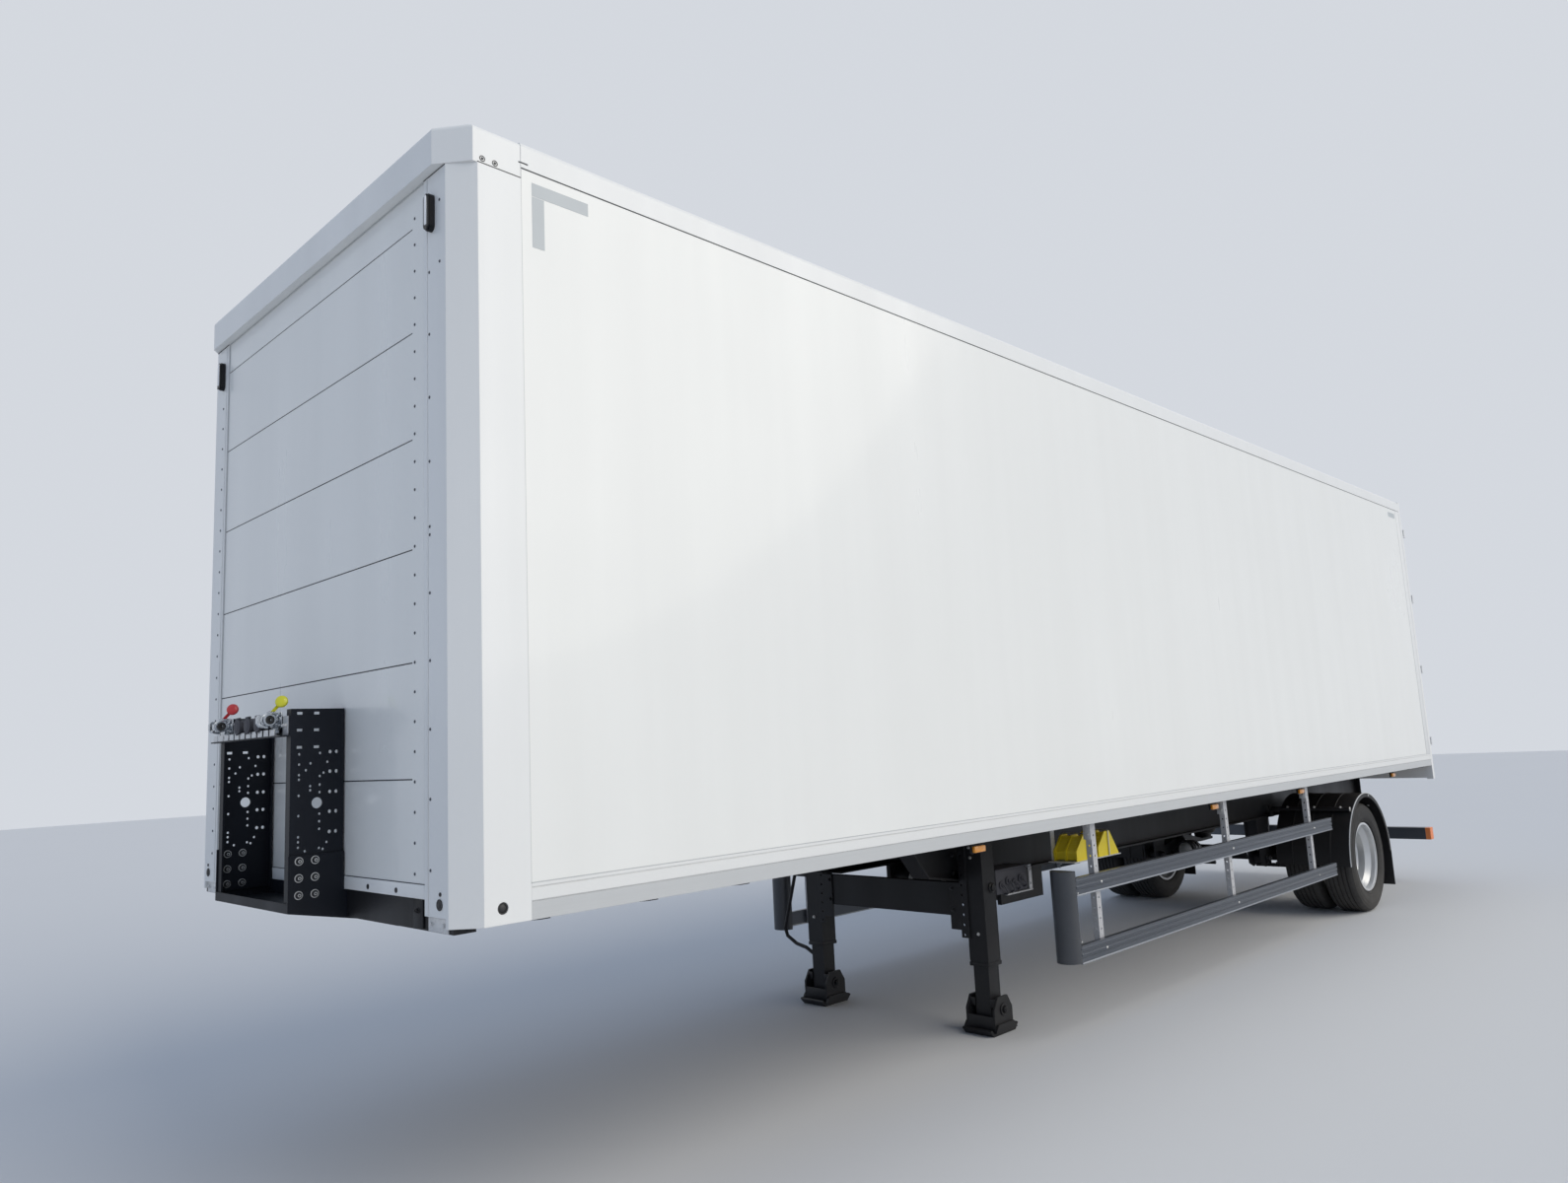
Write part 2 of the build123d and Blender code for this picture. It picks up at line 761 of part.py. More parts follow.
# The brace is bolted to the backs of both leg plates; the cross shaft runs behind it
shaft_height = sum(brace_heights) / 2
with BuildPart() as leg_brace:
    block((leg_front - brace_plate, leg_front), (-brace_half, brace_half), brace_heights)
    for low in (brace_heights[0], brace_heights[1] - brace_plate):
        block((leg_front - brace_flange, leg_front), (-brace_half, brace_half),
              (low, low + brace_plate))
    round_bar((leg_x, -leg_inner, shaft_height), (0, 1, 0), 2 * leg_inner, cross_shaft_radius)
save(leg_brace, "leg_brace")

# Crank folded down beside the right leg: distance out from the leg, height of each bend
crank_x = leg_x - 20
crank_radius = 12
crank_bends = ((0, 820), (190, 820), (310, 445), (290, 395), (205, 350), (115, 332), (40, 296))
with BuildPart() as leg_crank:
    for (reach, level), (next_reach, next_level) in zip(crank_bends, crank_bends[1:]):
        start = Vector(crank_x, -leg_outer - reach, level)
        end = Vector(crank_x, -leg_outer - next_reach, next_level)
        round_bar(start, end - start, (end - start).length, crank_radius)
        if level < crank_bends[0][1]:
            with Locations(start):
                Sphere(crank_radius)
    with Locations((crank_x, -leg_outer - crank_bends[1][0], crank_bends[1][1])):
        Sphere(crank_radius)
save(leg_crank, "leg_crank")

# Side guards
rail_x = span(nose_back + nose_wall, axle_back - guard_rear_gap)
with BuildPart() as guard_rail:
    for z in guard_rail_heights:
        block(rail_x, (guard_outer - guard_rail_thick, guard_outer), z)
        for place in guard_groove_places:
            level = z[0] + place * (z[1] - z[0])
            block(rail_x, (guard_outer - guard_groove_depth, guard_outer),
                  (level, level + guard_groove_height), Mode.SUBTRACT)
save_both(guard_rail, "guard_rails")

nose_y = guard_outer - nose_radius
with BuildPart() as guard_nose:
    with BuildSketch(plan(nose_heights[0])) as nose_outline:
        with Locations((back(nose_back), nose_y)):
            Circle(nose_radius)
            Circle(nose_radius - nose_wall, mode=Mode.SUBTRACT)
        with Locations((back(nose_back + nose_radius), nose_y)):
            Rectangle(2 * nose_radius, 2 * nose_radius, mode=Mode.SUBTRACT)
    extrude(nose_outline.sketch, amount=nose_heights[1] - nose_heights[0], dir=(0, 0, 1))
    block(span(nose_back, nose_back + nose_wall), about(nose_y, 2 * nose_radius), nose_heights)
save_both(guard_nose, "guard_noses")

post_outer = guard_outer - guard_rail_thick
with BuildPart() as guard_post:
    post_y = (post_outer - post_depth, post_outer)
    post_z = (guard_rail_heights[1][0], floor_underside)
    block(about(0, post_width), post_y, post_z)
    block((-post_width / 2, post_width / 2 - post_sheet), (post_y[0], post_y[1] - post_sheet),
          post_z, Mode.SUBTRACT)
    holes = [(post_outer - post_depth / 2, post_hole_first + index * post_hole_pitch)
             for index in range(post_hole_count)]
    round_holes(section(post_width / 2 - post_sheet), holes, post_hole_radius, post_sheet)
    round_holes(side_view(post_outer), [(0, z) for y, z in holes], post_hole_radius, post_sheet)

with BuildPart() as guard_post_row:
    with Locations(*[(back(station), 0, 0) for station in post_backs]):
        add(guard_post.part)
save_both(guard_post_row, "guard_posts")

# Axle, brakes and air suspension
axle_x = back(axle_back)
axle_z = tyre_radius
axle_top = axle_z + axle_tube_radius
twin_middle = outer_tyre_centre - twin_spacing / 2
axle_tube_half = twin_middle - 360
spindle_half = twin_middle + 115
with BuildPart() as axle_beam:
    round_bar((axle_x, -axle_tube_half, axle_z), (0, 1, 0), 2 * axle_tube_half, axle_tube_radius)
    round_bar((axle_x, -spindle_half, axle_z), (0, 1, 0), 2 * spindle_half, spindle_radius)
    for y in (-axle_tube_half - shield_thick, axle_tube_half):
        round_bar((axle_x, y, axle_z), (0, 1, 0), shield_thick, drum_radius - shield_thick)
save(axle_beam, "axle_beam")

# Hanger seen from the side: distance behind the arm's pivot, height above it
pivot_x = axle_x + 584
pivot_z = axle_z + 25
hanger_top = beam_bottom - pivot_z
hanger_outline = ((-140, hanger_top), (-110, -40), (-20, -75), (60, -40), (130, hanger_top))
hanger_plate = 12
hanger_gap = 2
with BuildPart() as spring_hanger:
    cheek_inner = arm_half + hanger_gap
    for y in (beam_centre - cheek_inner, beam_centre + cheek_inner + hanger_plate):
        prism(side_view(y), [(pivot_x - x, pivot_z + z) for x, z in hanger_outline], hanger_plate)
    block((pivot_x + 100, pivot_x + 112), about(beam_centre, 2 * cheek_inner),
          (pivot_z + 130, beam_bottom))
    round_bar((pivot_x, beam_centre - cheek_inner - 2 * hanger_plate, pivot_z), (0, 1, 0),
              2 * cheek_inner + 4 * hanger_plate, pivot_radius)
save_both(spring_hanger, "spring_hangers")

# Arm seen from the side: distance forward of the axle, height above the axle's centre
seat_x = axle_x - 506
seat_z = axle_z + 85
arm_outline = ((584, 43), (554, 75), (200, 140), (-120, 140), (-366, 85), (-636, 85), (-636, 60),
               (-356, 55), (-100, axle_tube_radius), (100, axle_tube_radius), (524, 5))
with BuildPart() as trailing_arm:
    prism(side_view(beam_centre + arm_half), [(axle_x + x, axle_z + z) for x, z in arm_outline],
          2 * arm_half)
    round_bar((pivot_x, beam_centre - arm_half, pivot_z), (0, 1, 0), 2 * arm_half, arm_eye_radius)
    round_bar((pivot_x, beam_centre - arm_half, pivot_z), (0, 1, 0), 2 * arm_half,
              pivot_radius + pivot_gap, Mode.SUBTRACT)
save_both(trailing_arm, "trailing_arms")

spring_top = beam_bottom - spring_top_plate
with BuildPart() as air_spring:
    for low, high, radius in ((seat_z, seat_z + spring_foot, spring_seat_radius),
                              (seat_z + spring_foot, spring_top, spring_radius),
                              (spring_top, beam_bottom, spring_top_radius)):
        round_bar((seat_x, beam_centre, low), (0, 0, 1), high - low, radius)
save_both(air_spring, "air_springs")

chamber_x = axle_x + axle_tube_radius + 40
chamber_bracket = 80
with BuildPart() as brake_chamber:
    round_bar((chamber_x, chamber_offset, axle_z + 20), (1, 0, 0.12), chamber_length,
              chamber_radius)
    block((axle_x, chamber_x + 4), about(chamber_offset, chamber_bracket),
          about(axle_z + 20, chamber_bracket))
    round_bar((axle_x, chamber_offset - chamber_radius, axle_z), (0, 1, 0), 2 * chamber_radius,
              axle_tube_radius, Mode.SUBTRACT)
save_both(brake_chamber, "brake_chambers")

tank_z = beam_bottom - tank_radius - tank_drop
tank_margin = 130
with BuildPart() as air_reservoirs:
    for y in ((-beam_inner - tank_strap, -beam_inner), (beam_inner, beam_inner + tank_strap)):
        block(span(tank_backs[0] - tank_margin, tank_backs[1] + tank_margin), y,
              (tank_z - tank_radius - tank_drop, beam_bottom))
    for station in tank_backs:
        round_bar((back(station), -beam_inner, tank_z), (0, 1, 0), 2 * beam_inner, tank_radius)
save(air_reservoirs, "air_reservoirs")

# Twin wheels on each side: outer and inner tyre and rim, and the hub with its brake drum
axle_line = Axis((axle_x, 0, axle_z), (0, 1, 0))
wheel_plane = Plane((axle_x, 0, axle_z), x_dir=(1, 0, 0), z_dir=(0, 0, 1))


def turned(points):
    """Revolve an outline of (radius, Y) points about the axle line."""
    with BuildSketch(wheel_plane) as outline:
        with BuildLine():
            Polyline(*points, close=True)
        make_face()
    revolve(outline.sketch, axis=axle_line)


# Half of the tyre's section, from bead to crown: radius, distance from the tyre's middle
sidewall = tyre_radius - rim_radius
tyre_half_section = ((rim_radius + bead_gap, 103), (rim_flange_radius + 5, 104),
                     (rim_flange_radius + 13, 122), (rim_radius + 0.31 * sidewall, 133),
                     (rim_radius + 0.52 * sidewall, tyre_half_width),
                     (rim_radius + 0.735 * sidewall, 132), (rim_radius + 0.87 * sidewall, 124),
                     (rim_radius + 0.94 * sidewall, 112), (rim_radius + 0.984 * sidewall, 95),
                     (tyre_radius, 70))
# Rim in section, round from the inboard flange: radius, distance outboard of its middle
rim_bore = rim_radius - rim_wall
well_bore = rim_well_radius - rim_wall
rim_section = ((rim_flange_radius, -112), (rim_flange_radius, -105), (rim_radius, -103),
               (rim_radius, -70), (rim_well_radius, -50), (rim_well_radius, 25), (rim_radius, 70),
               (rim_radius, 103), (rim_flange_radius, 105), (rim_flange_radius, 112),
               (rim_radius - 4, 112), (rim_bore, 100), (rim_bore, 66), (well_bore, 22),
               (well_bore, -48), (rim_bore, -66), (rim_bore, -100), (rim_radius - 4, -112))
# Dished disc in section, from the rim's well to the bolting face: same columns
disc_face = -twin_spacing / 2
disc_bore = hub_bore_radius + hub_bore_gap
disc_section = ((well_bore + 3, -30), (well_bore - 11, -46), (well_bore - 18, -80),
                (well_bore - 49, disc_face + disc_thick), (disc_bore, disc_face + disc_thick),
                (disc_bore, disc_face), (well_bore - 42, disc_face), (well_bore - 9, -86),
                (well_bore, -56), (well_bore + 3, -47))

# Each row: middle of the wheel, and the side its dish opens to
twins = ((outer_tyre_centre, 1), (outer_tyre_centre - twin_spacing, -1))
with BuildPart() as tyres:
    for centre, facing in twins:
        turned([(r, centre + d) for r, d in tyre_half_section]
               + [(r, centre - d) for r, d in reversed(tyre_half_section)])
save_pair(tyres, "tyres")

with BuildPart() as rims:
    for centre, facing in twins:
        turned([(r, centre + facing * d) for r, d in rim_section])
        turned([(r, centre + facing * d) for r, d in disc_section])
    hand_holes = [(axle_x + hand_hole_circle * cos(radians(turn)),
                   axle_z + hand_hole_circle * sin(radians(turn)))
                  for turn in range(0, 360, 360 // hand_hole_count)]
    round_holes(side_view(outer_tyre_centre), hand_holes, hand_hole_radius, twin_spacing)
save_pair(rims, "rims")

# Hub and drum in section: radius, distance outboard of the joint between the twins
spindle_bore = spindle_radius + bearing_gap
hub_face = -disc_thick
hub_end = 70
hub_cap_end = 125
hub_cap_radius = 80
drum_inboard = -338
hub_section = ((spindle_bore, drum_inboard), (drum_radius, drum_inboard), (drum_radius, -144),
               (168, -132), (168, hub_face - 22), (188, hub_face - 18), (188, hub_face),
               (hub_bore_radius, hub_face), (hub_bore_radius, disc_thick + 6),
               (112, disc_thick + 14), (104, hub_end), (hub_cap_radius, hub_end),
               (hub_cap_radius, hub_cap_end), (0, hub_cap_end), (0, hub_cap_end - 9),
               (spindle_bore, hub_cap_end - 9))
bearing_boss_radius = 90
with BuildPart() as hub:
    turned([(r, twin_middle + d) for r, d in hub_section])
    with BuildSketch(Plane((axle_x, twin_middle + drum_inboard, axle_z), z_dir=(0, 1, 0))) as hollow:
        Circle(drum_radius - drum_wall)
        Circle(bearing_boss_radius, mode=Mode.SUBTRACT)
    extrude(hollow.sketch, amount=drum_depth, dir=(0, 1, 0), mode=Mode.SUBTRACT)
save_pair(hub, "hub")

# Mudguards over the twin wheels, with their stays and rear flaps
arch_radius = tyre_radius + guard_clearance
mudguard_inner = outer_tyre_centre - twin_spacing - tyre_half_width - mudguard_gap
mudguard_outer = half - mudguard_gap


def arch_point(radius, degrees):
    """X and Z of a point on an arc about the axle; 0 degrees points forwards."""
    return (axle_x + radius * cos(radians(degrees)), axle_z + radius * sin(radians(degrees)))


def arch_sector(inner, outer, first, last, y):
    """Add a curved sheet about the axle between two radii and two angles."""
    plane = side_view(y[1])
    middle = (first + last) / 2
    with BuildSketch(plane) as arch_outline:
        with BuildLine():
            ThreePointArc(arch_point(outer, first), arch_point(outer, middle), arch_point(outer, last))
            Line(arch_point(outer, last), arch_point(inner, last))
            ThreePointArc(arch_point(inner, last), arch_point(inner, middle), arch_point(inner, first))
            Line(arch_point(inner, first), arch_point(outer, first))
        make_face()
    extrude(arch_outline.sketch, amount=y[1] - y[0], dir=plane.z_dir)


stay_end = mudguard_outer - 20
with BuildPart() as mudguard:
    outer_radius = arch_radius + mudguard_sheet
    arch_sector(arch_radius, outer_radius, mudguard_front_angle, 180,
                (mudguard_inner, mudguard_outer))
    arch_sector(arch_radius - mudguard_lip, outer_radius, mudguard_front_angle, 180,
                (mudguard_outer - mudguard_sheet, mudguard_outer))
    for degrees in stay_angles:
        x, z = arch_point(outer_radius + stay_radius - 1, degrees)
        round_bar((x, flange_edge, z), (0, 1, 0), stay_end - flange_edge, stay_radius)
        block(about(x, 2 * stay_plate_margin), (flange_edge, flange_edge + stay_plate),
              (min(z - stay_plate_margin, beam_bottom), max(z, beam_bottom) + stay_plate_margin))
save_both(mudguard, "mudguards")

with BuildPart() as mud_flap:
    flap_x = axle_x - arch_radius
    block((flap_x - mudguard_sheet, flap_x), (mudguard_inner, mudguard_outer),
          (flap_bottom, axle_z))
save_both(mud_flap, "mud_flaps")

# Rear underrun bar on plates under the beams, with its end caps
underrun_half = half - underrun_inset
underrun_front = x_rear + underrun_front_gap
underrun_x = (underrun_front - underrun_depth, underrun_front)
plate_outline = ((underrun_front, underrun_heights[0]), (underrun_front, underrun_heights[1]),
                 (beam_rear + 10, beam_bottom), (beam_rear + 330, beam_bottom),
                 (underrun_front + 60, underrun_heights[0]))
with BuildPart() as underrun_bar:
    block(underrun_x, (-underrun_half, underrun_half), underrun_heights)
    for sign in (-1, 1):
        for side in (-1, 1):
            y = sign * beam_centre + side * underrun_plate_gap + underrun_plate / 2
            prism(side_view(y), plate_outline, underrun_plate)
save(underrun_bar, "underrun_bar")

with BuildPart() as underrun_end:
    block(underrun_x, (underrun_half, underrun_half + underrun_cap), underrun_heights)
save_both(underrun_end, "underrun_ends")

# Lamps
tail_lamp_outer = half - tail_lamp_inset
tail_lamp_bottom = floor_underside - sill_depth + tail_lamp_rise
with BuildPart() as tail_lamp:
    block((x_rear - tail_lamp_depth, x_rear), (tail_lamp_outer - tail_lamp_width, tail_lamp_outer),
          (tail_lamp_bottom, tail_lamp_bottom + tail_lamp_height))
save_both(tail_lamp, "tail_lamps")

front_marker_inner = half - front_marker_inset
with BuildPart() as front_marker:
    block(span(0, -front_marker_depth), (front_marker_inner, front_marker_inner + front_marker_width),
          (height - front_marker_drops[0], height - front_marker_drops[1]))
save_both(front_marker, "front_markers")

side_marker_outer = half - side_marker_inset
side_marker_inner = side_marker_outer - side_marker_depth
with BuildPart() as side_marker:
    for station in side_marker_backs:
        block(about(back(station), side_marker_length), (side_marker_inner, side_marker_outer),
              side_marker_heights)
        block(about(back(station), side_bracket_length),
              (side_marker_inner - side_bracket_depth, side_marker_inner),
              (side_marker_heights[0], floor_underside))
save_both(side_marker, "side_markers")

# Wheel chocks in their carrier, on the left behind the landing legs
# Chock seen from the side: distance forward of its rear edge, height above the tray
chock_outline = ((0, 0), (255, 0), (255, 60), (165, 150), (100, 150))
chock_outer = half - chock_inset
chock_y = (chock_outer - chock_width, chock_outer)
with BuildPart() as wheel_chocks:
    for rear in chock_rear_backs:
        prism(side_view(chock_outer), [(back(rear) + x, chock_bottom + z) for x, z in chock_outline],
              chock_width)
save(wheel_chocks, "wheel_chocks")

chock_rest = chock_bottom - chock_tray
strip_width = 40
hanger_y = (chock_y[0] - chock_tray_rim, chock_y[0] - chock_tray_rim + chock_tray)
with BuildPart() as chock_carrier:
    block(span(post_cross_backs[0] - cross_width / 2, chock_rear_backs[1] + chock_tray_rim),
          (chock_y[0] - chock_tray_rim, chock_outer + chock_tray_rim), (chock_rest, chock_bottom))
    for station in (post_cross_backs[0], chock_cross_back):
        web_back = station + cross_width / 2
        block(span(web_back, web_back + strip_width), hanger_y, (chock_bottom, floor_underside))
save(chock_carrier, "chock_carrier")
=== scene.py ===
"""Looks of a single-axle box semi trailer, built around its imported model.

Every length is in metres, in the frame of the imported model: +X points to the front, +Y to the
left side and +Z up, with the ground at zero. A place called "back" is measured rearwards from
the front face of the box. The points of a shape are measured from the shape's origin.
"""

import logging
from collections.abc import Callable, Iterable, Sequence
from dataclasses import dataclass
from enum import Enum
from functools import partial
from math import cos, pi, radians, sin

import bmesh
import bpy
from mathutils import Matrix, Vector


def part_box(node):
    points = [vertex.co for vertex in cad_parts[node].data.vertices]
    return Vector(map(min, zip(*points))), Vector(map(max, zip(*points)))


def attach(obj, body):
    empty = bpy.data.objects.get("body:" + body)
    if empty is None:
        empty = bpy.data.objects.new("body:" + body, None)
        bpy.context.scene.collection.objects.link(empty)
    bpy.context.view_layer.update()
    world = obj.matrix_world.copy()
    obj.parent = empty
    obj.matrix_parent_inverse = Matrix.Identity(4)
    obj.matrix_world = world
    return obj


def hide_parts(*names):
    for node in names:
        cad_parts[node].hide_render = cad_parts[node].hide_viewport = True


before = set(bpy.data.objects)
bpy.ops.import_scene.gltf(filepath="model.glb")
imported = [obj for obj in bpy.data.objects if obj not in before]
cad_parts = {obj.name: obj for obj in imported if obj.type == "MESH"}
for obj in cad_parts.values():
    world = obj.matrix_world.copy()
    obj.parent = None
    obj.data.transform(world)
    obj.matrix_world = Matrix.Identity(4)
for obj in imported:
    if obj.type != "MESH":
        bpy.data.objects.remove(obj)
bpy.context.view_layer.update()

log = logging.getLogger("trailer")

Place = tuple[float, float, float]
Colour = tuple[float, float, float]
Row = tuple[float, ...]
Table = tuple[Row, ...]
Profile = Sequence[tuple[float, float]]
Socket = bpy.types.NodeSocket
Sockets = bpy.types.bpy_prop_collection
HERE = (0, 0, 0)
AHEAD, ASTERN, OUT, IN = (1, 0, 0), (-1, 0, 0), (0, 1, 0), (0, -1, 0)
UP, DOWN = (0, 0, 1), (0, 0, -1)
SIDES = LEFT, RIGHT = 1, -1
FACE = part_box("corner_posts")[1].x
REAR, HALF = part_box("rear_frame")[0].x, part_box("rear_frame")[1].y


class Grain(Enum):
    """Fine texture that a finish has all over."""

    SPRAYED = "sprayed_paint"
    ROLLED = "rolled_aluminium"
    CAST = "cast_metal"
    SPANGLED = "zinc_spangle"
    TURNED = "turned_steel"
    RUBBER = "moulded_rubber"
    MOULDED = "moulded_plastic"
    BOARD = "coated_board"
    FLUTED = "fluted_lens"


@dataclass
class Graph:
    """A shader node tree that is being filled."""

    tree: bpy.types.NodeTree

    def node(self, kind: str, given: dict | None = None, **settings: object) -> bpy.types.Node:
        """Add a node.

        Args:
            kind: Type of the node, without the word that all types start with.
            given: Value or linked socket for each of its inputs, by name or number.
            settings: Attributes of the node.

        Returns:
            The new node.
        """
        made = self.tree.nodes.new(kind if kind.startswith("Node") else "ShaderNode" + kind)
        for key, value in settings.items():
            setattr(made, key, value)
        for key, value in (given or {}).items():
            if isinstance(value, Socket):
                self.tree.links.new(value, made.inputs[key])
            else:
                made.inputs[key].default_value = value
        return made

    def place(self) -> Socket:
        """Return the point on the surface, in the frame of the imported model."""
        return self.node("TexCoord").outputs["Object"]

    def part(self, vector: Socket) -> Socket:
        """Return how far a vector points up."""
        return self.node("SeparateXYZ", {0: vector}).outputs[2]

    def stretched(self, vector: Socket, by: object) -> Socket:
        """Return the vector times another vector, part by part."""
        return self.node("VectorMath", {0: vector, 1: by}, operation="MULTIPLY").outputs[0]

    def noise(self, vector: Socket, scale: float, detail: float = 2.0,
              roughness: float = 0.5) -> Socket:
        """Return a smooth random pattern about one half, with its waves in a metre."""
        given = {"Vector": vector, "Scale": scale, "Detail": detail, "Roughness": roughness}
        return self.node("TexNoise", given).outputs[0]

    def maths(self, operation: str, first: object, second: object = 0.0) -> Socket:
        """Return the result of one sum on two values, held between nought and one."""
        given = {0: first, 1: second}
        return self.node("Math", given, operation=operation, use_clamp=True).outputs[0]

    def times(self, first: object, second: object) -> Socket:
        """Return the product of two values."""
        return self.maths("MULTIPLY", first, second)

    def ramp(self, value: Socket, low: float, high: float, to_low: float = 0.0,
             to_high: float = 1.0) -> Socket:
        """Return the value carried from one range to another, and held within it."""
        given = {0: value, 1: low, 2: high, 3: to_low, 4: to_high}
        return self.node("MapRange", given).outputs[0]

    def tone(self, share: object, first: object, second: object) -> Socket:
        """Return a mix of two colours, which is the second one where the share is one."""
        return self.node("Mix", {0: share, 6: first, 7: second}, data_type="RGBA").outputs[2]

    def group(self, tree: bpy.types.NodeTree, **values: float) -> Sockets:
        """Place a node group with a value for each of its inputs, and return its outputs."""
        return self.node("Group", values, node_tree=tree).outputs


class Effects:
    """Shader node groups, each built once: every grain, road dust and worn edges."""

    def __init__(self) -> None:
        """Start with no group built."""
        self.built: dict[str, bpy.types.NodeTree] = {}

    def group(self, name: str, paint: Callable, **inputs: float) -> bpy.types.NodeTree:
        """Return a group, which is built on first use.

        Args:
            name: Name of the group.
            paint: Function that fills a graph, given the sockets of the group's inputs, and
                returns the socket to put out under each name.
            inputs: Default of each number that the group is given.

        Returns:
            The group.
        """
        if name not in self.built:
            tree = self.built[name] = bpy.data.node_groups.new(name, "ShaderNodeTree")
            for key, value in inputs.items():
                made = tree.interface.new_socket(key, in_out="INPUT",
                                                 socket_type="NodeSocketFloat")
                made.default_value = value
            graph = Graph(tree)
            painted = paint(graph, graph.node("NodeGroupInput").outputs)
            for key in painted:
                kind = "NodeSocketVector" if key == "Normal" else "NodeSocketFloat"
                tree.interface.new_socket(key, in_out="OUTPUT", socket_type=kind)
            graph.node("NodeGroupOutput", painted)
        return self.built[name]

    def drawn(self, grain: Grain, graph: Graph, given: Sockets) -> dict[str, Socket]:
        """Draw a grain.

        Args:
            grain: Which grain.
            graph: Graph that takes the nodes.
            given: Socket of the input Size.

        Returns:
            The outputs Tint, which the colour follows, and Height, which the bump follows.
        """
        noise, stretched = graph.noise, graph.stretched
        place = graph.node("VectorMath", {0: graph.place(), 3: given["Size"]},
                           operation="SCALE").outputs[0]
        match grain:
            case Grain.SPRAYED:
                streaks = noise(stretched(place, (5.0, 5.0, 0.3)), 1.0, 4.0)
                tint = graph.ramp(graph.times(streaks, noise(place, 0.8, 3.0)), 0.12, 0.4)
                height = noise(place, 190.0, 1.0)
            case Grain.ROLLED:
                height = noise(stretched(place, (1.2, 300.0, 300.0)), 1.0, 3.0)
                patches = graph.times(noise(place, 3.0, 4.0), 0.4)
                tint = graph.maths("ADD", graph.times(height, 0.6), patches)
            case Grain.CAST:
                pits = graph.node("TexVoronoi", {"Vector": place, "Scale": 260.0}).outputs[0]
                tint = noise(place, 24.0, 5.0, 0.65)
                height = graph.times(pits, noise(place, 420.0, 3.0))
            case Grain.SPANGLED:
                cells = graph.node("TexVoronoi", {"Vector": place, "Scale": 95.0})
                tint = graph.tone(0.45, cells.outputs["Color"], noise(place, 6.0, 4.0))
                height = noise(place, 150.0, 2.0)
            case Grain.TURNED:
                tint = noise(place, 40.0, 5.0, 0.7)
                height = noise(stretched(place, (1.0, 1.0, 900.0)), 1.0, 2.0)
            case Grain.RUBBER:
                tint, height = noise(place, 14.0, 6.0, 0.7), noise(place, 520.0, 3.0)
            case Grain.MOULDED:
                tint = noise(place, 7.0, 5.0, 0.6)
                height = graph.node("TexVoronoi", {"Vector": place, "Scale": 620.0}).outputs[0]
            case Grain.BOARD:
                boards = {"Vector": place, "Scale": 1.0, "Color1": (1, 1, 1, 1),
                          "Color2": (0.6, 0.6, 0.6, 1), "Mortar": (0, 0, 0, 1),
                          "Mortar Size": 0.004, "Brick Width": 2.5, "Row Height": 0.6}
                wood = noise(stretched(place, (0.8, 22.0, 22.0)), 1.0, 4.0)
                tint = graph.times(wood, graph.node("TexBrick", boards).outputs[0])
                height = graph.node("TexChecker", {"Vector": place, "Scale": 160.0}).outputs[1]
            case Grain.FLUTED:
                height, across = (graph.node("TexWave", {"Vector": place, "Scale": scale},
                                             bands_direction=way).outputs[1]
                                  for scale, way in ((55.0, "Z"), (40.0, "X")))
                tint = graph.times(height, across)
        return {"Tint": tint, "Height": height}

    def grain(self, grain: Grain) -> bpy.types.NodeTree:
        """Return the group of a grain, whose input is Size."""
        return self.group(grain.value, partial(self.drawn, grain), Size=1.0)

    def dust(self, graph: Graph, given: Sockets) -> dict[str, Socket]:
        """Draw road dust, thickest low down and on ledges.

        Args:
            graph: Graph that takes the nodes.
            given: Sockets of the inputs Amount and Top.

        Returns:
            The output Mask.
        """
        place, times = graph.place(), graph.times
        facing = graph.node("NewGeometry").outputs["Normal"]
        low = graph.maths("SUBTRACT", 1.0, graph.maths("DIVIDE", graph.part(place), given["Top"]))
        up = graph.ramp(graph.part(facing), 0.5, 1.0)
        cloud = graph.ramp(graph.noise(place, 4.0, 7.0, 0.65), 0.3, 0.75)
        speck = graph.ramp(graph.noise(place, 60.0, 5.0, 0.7), 0.3, 0.7, 0.6, 1.0)
        cover = graph.maths("ADD", times(low, graph.maths("ADD", cloud, 0.35)),
                            times(up, times(cloud, 0.7)))
        return {"Mask": times(times(cover, speck), given["Amount"])}

    def edges(self, graph: Graph, given: Sockets) -> dict[str, Socket]:
        """Soften sharp edges and find where paint wears off them.

        Args:
            graph: Graph that takes the nodes.
            given: Socket of the input Radius.

        Returns:
            The outputs Normal and Wear.
        """
        soft = graph.node("Bevel", {"Radius": given["Radius"]}, samples=3).outputs[0]
        flat = graph.node("NewGeometry").outputs["Normal"]
        likeness = graph.node("VectorMath", {0: soft, 1: flat}, operation="DOT_PRODUCT")
        patchy = graph.ramp(graph.noise(graph.place(), 35.0, 6.0, 0.7), 0.4, 0.65)
        worn = graph.ramp(likeness.outputs["Value"], 0.985, 0.9)
        return {"Normal": soft, "Wear": graph.times(worn, patchy)}


EFFECTS = Effects()
DUST_COLOUR = (0.30, 0.275, 0.24, 1.0)


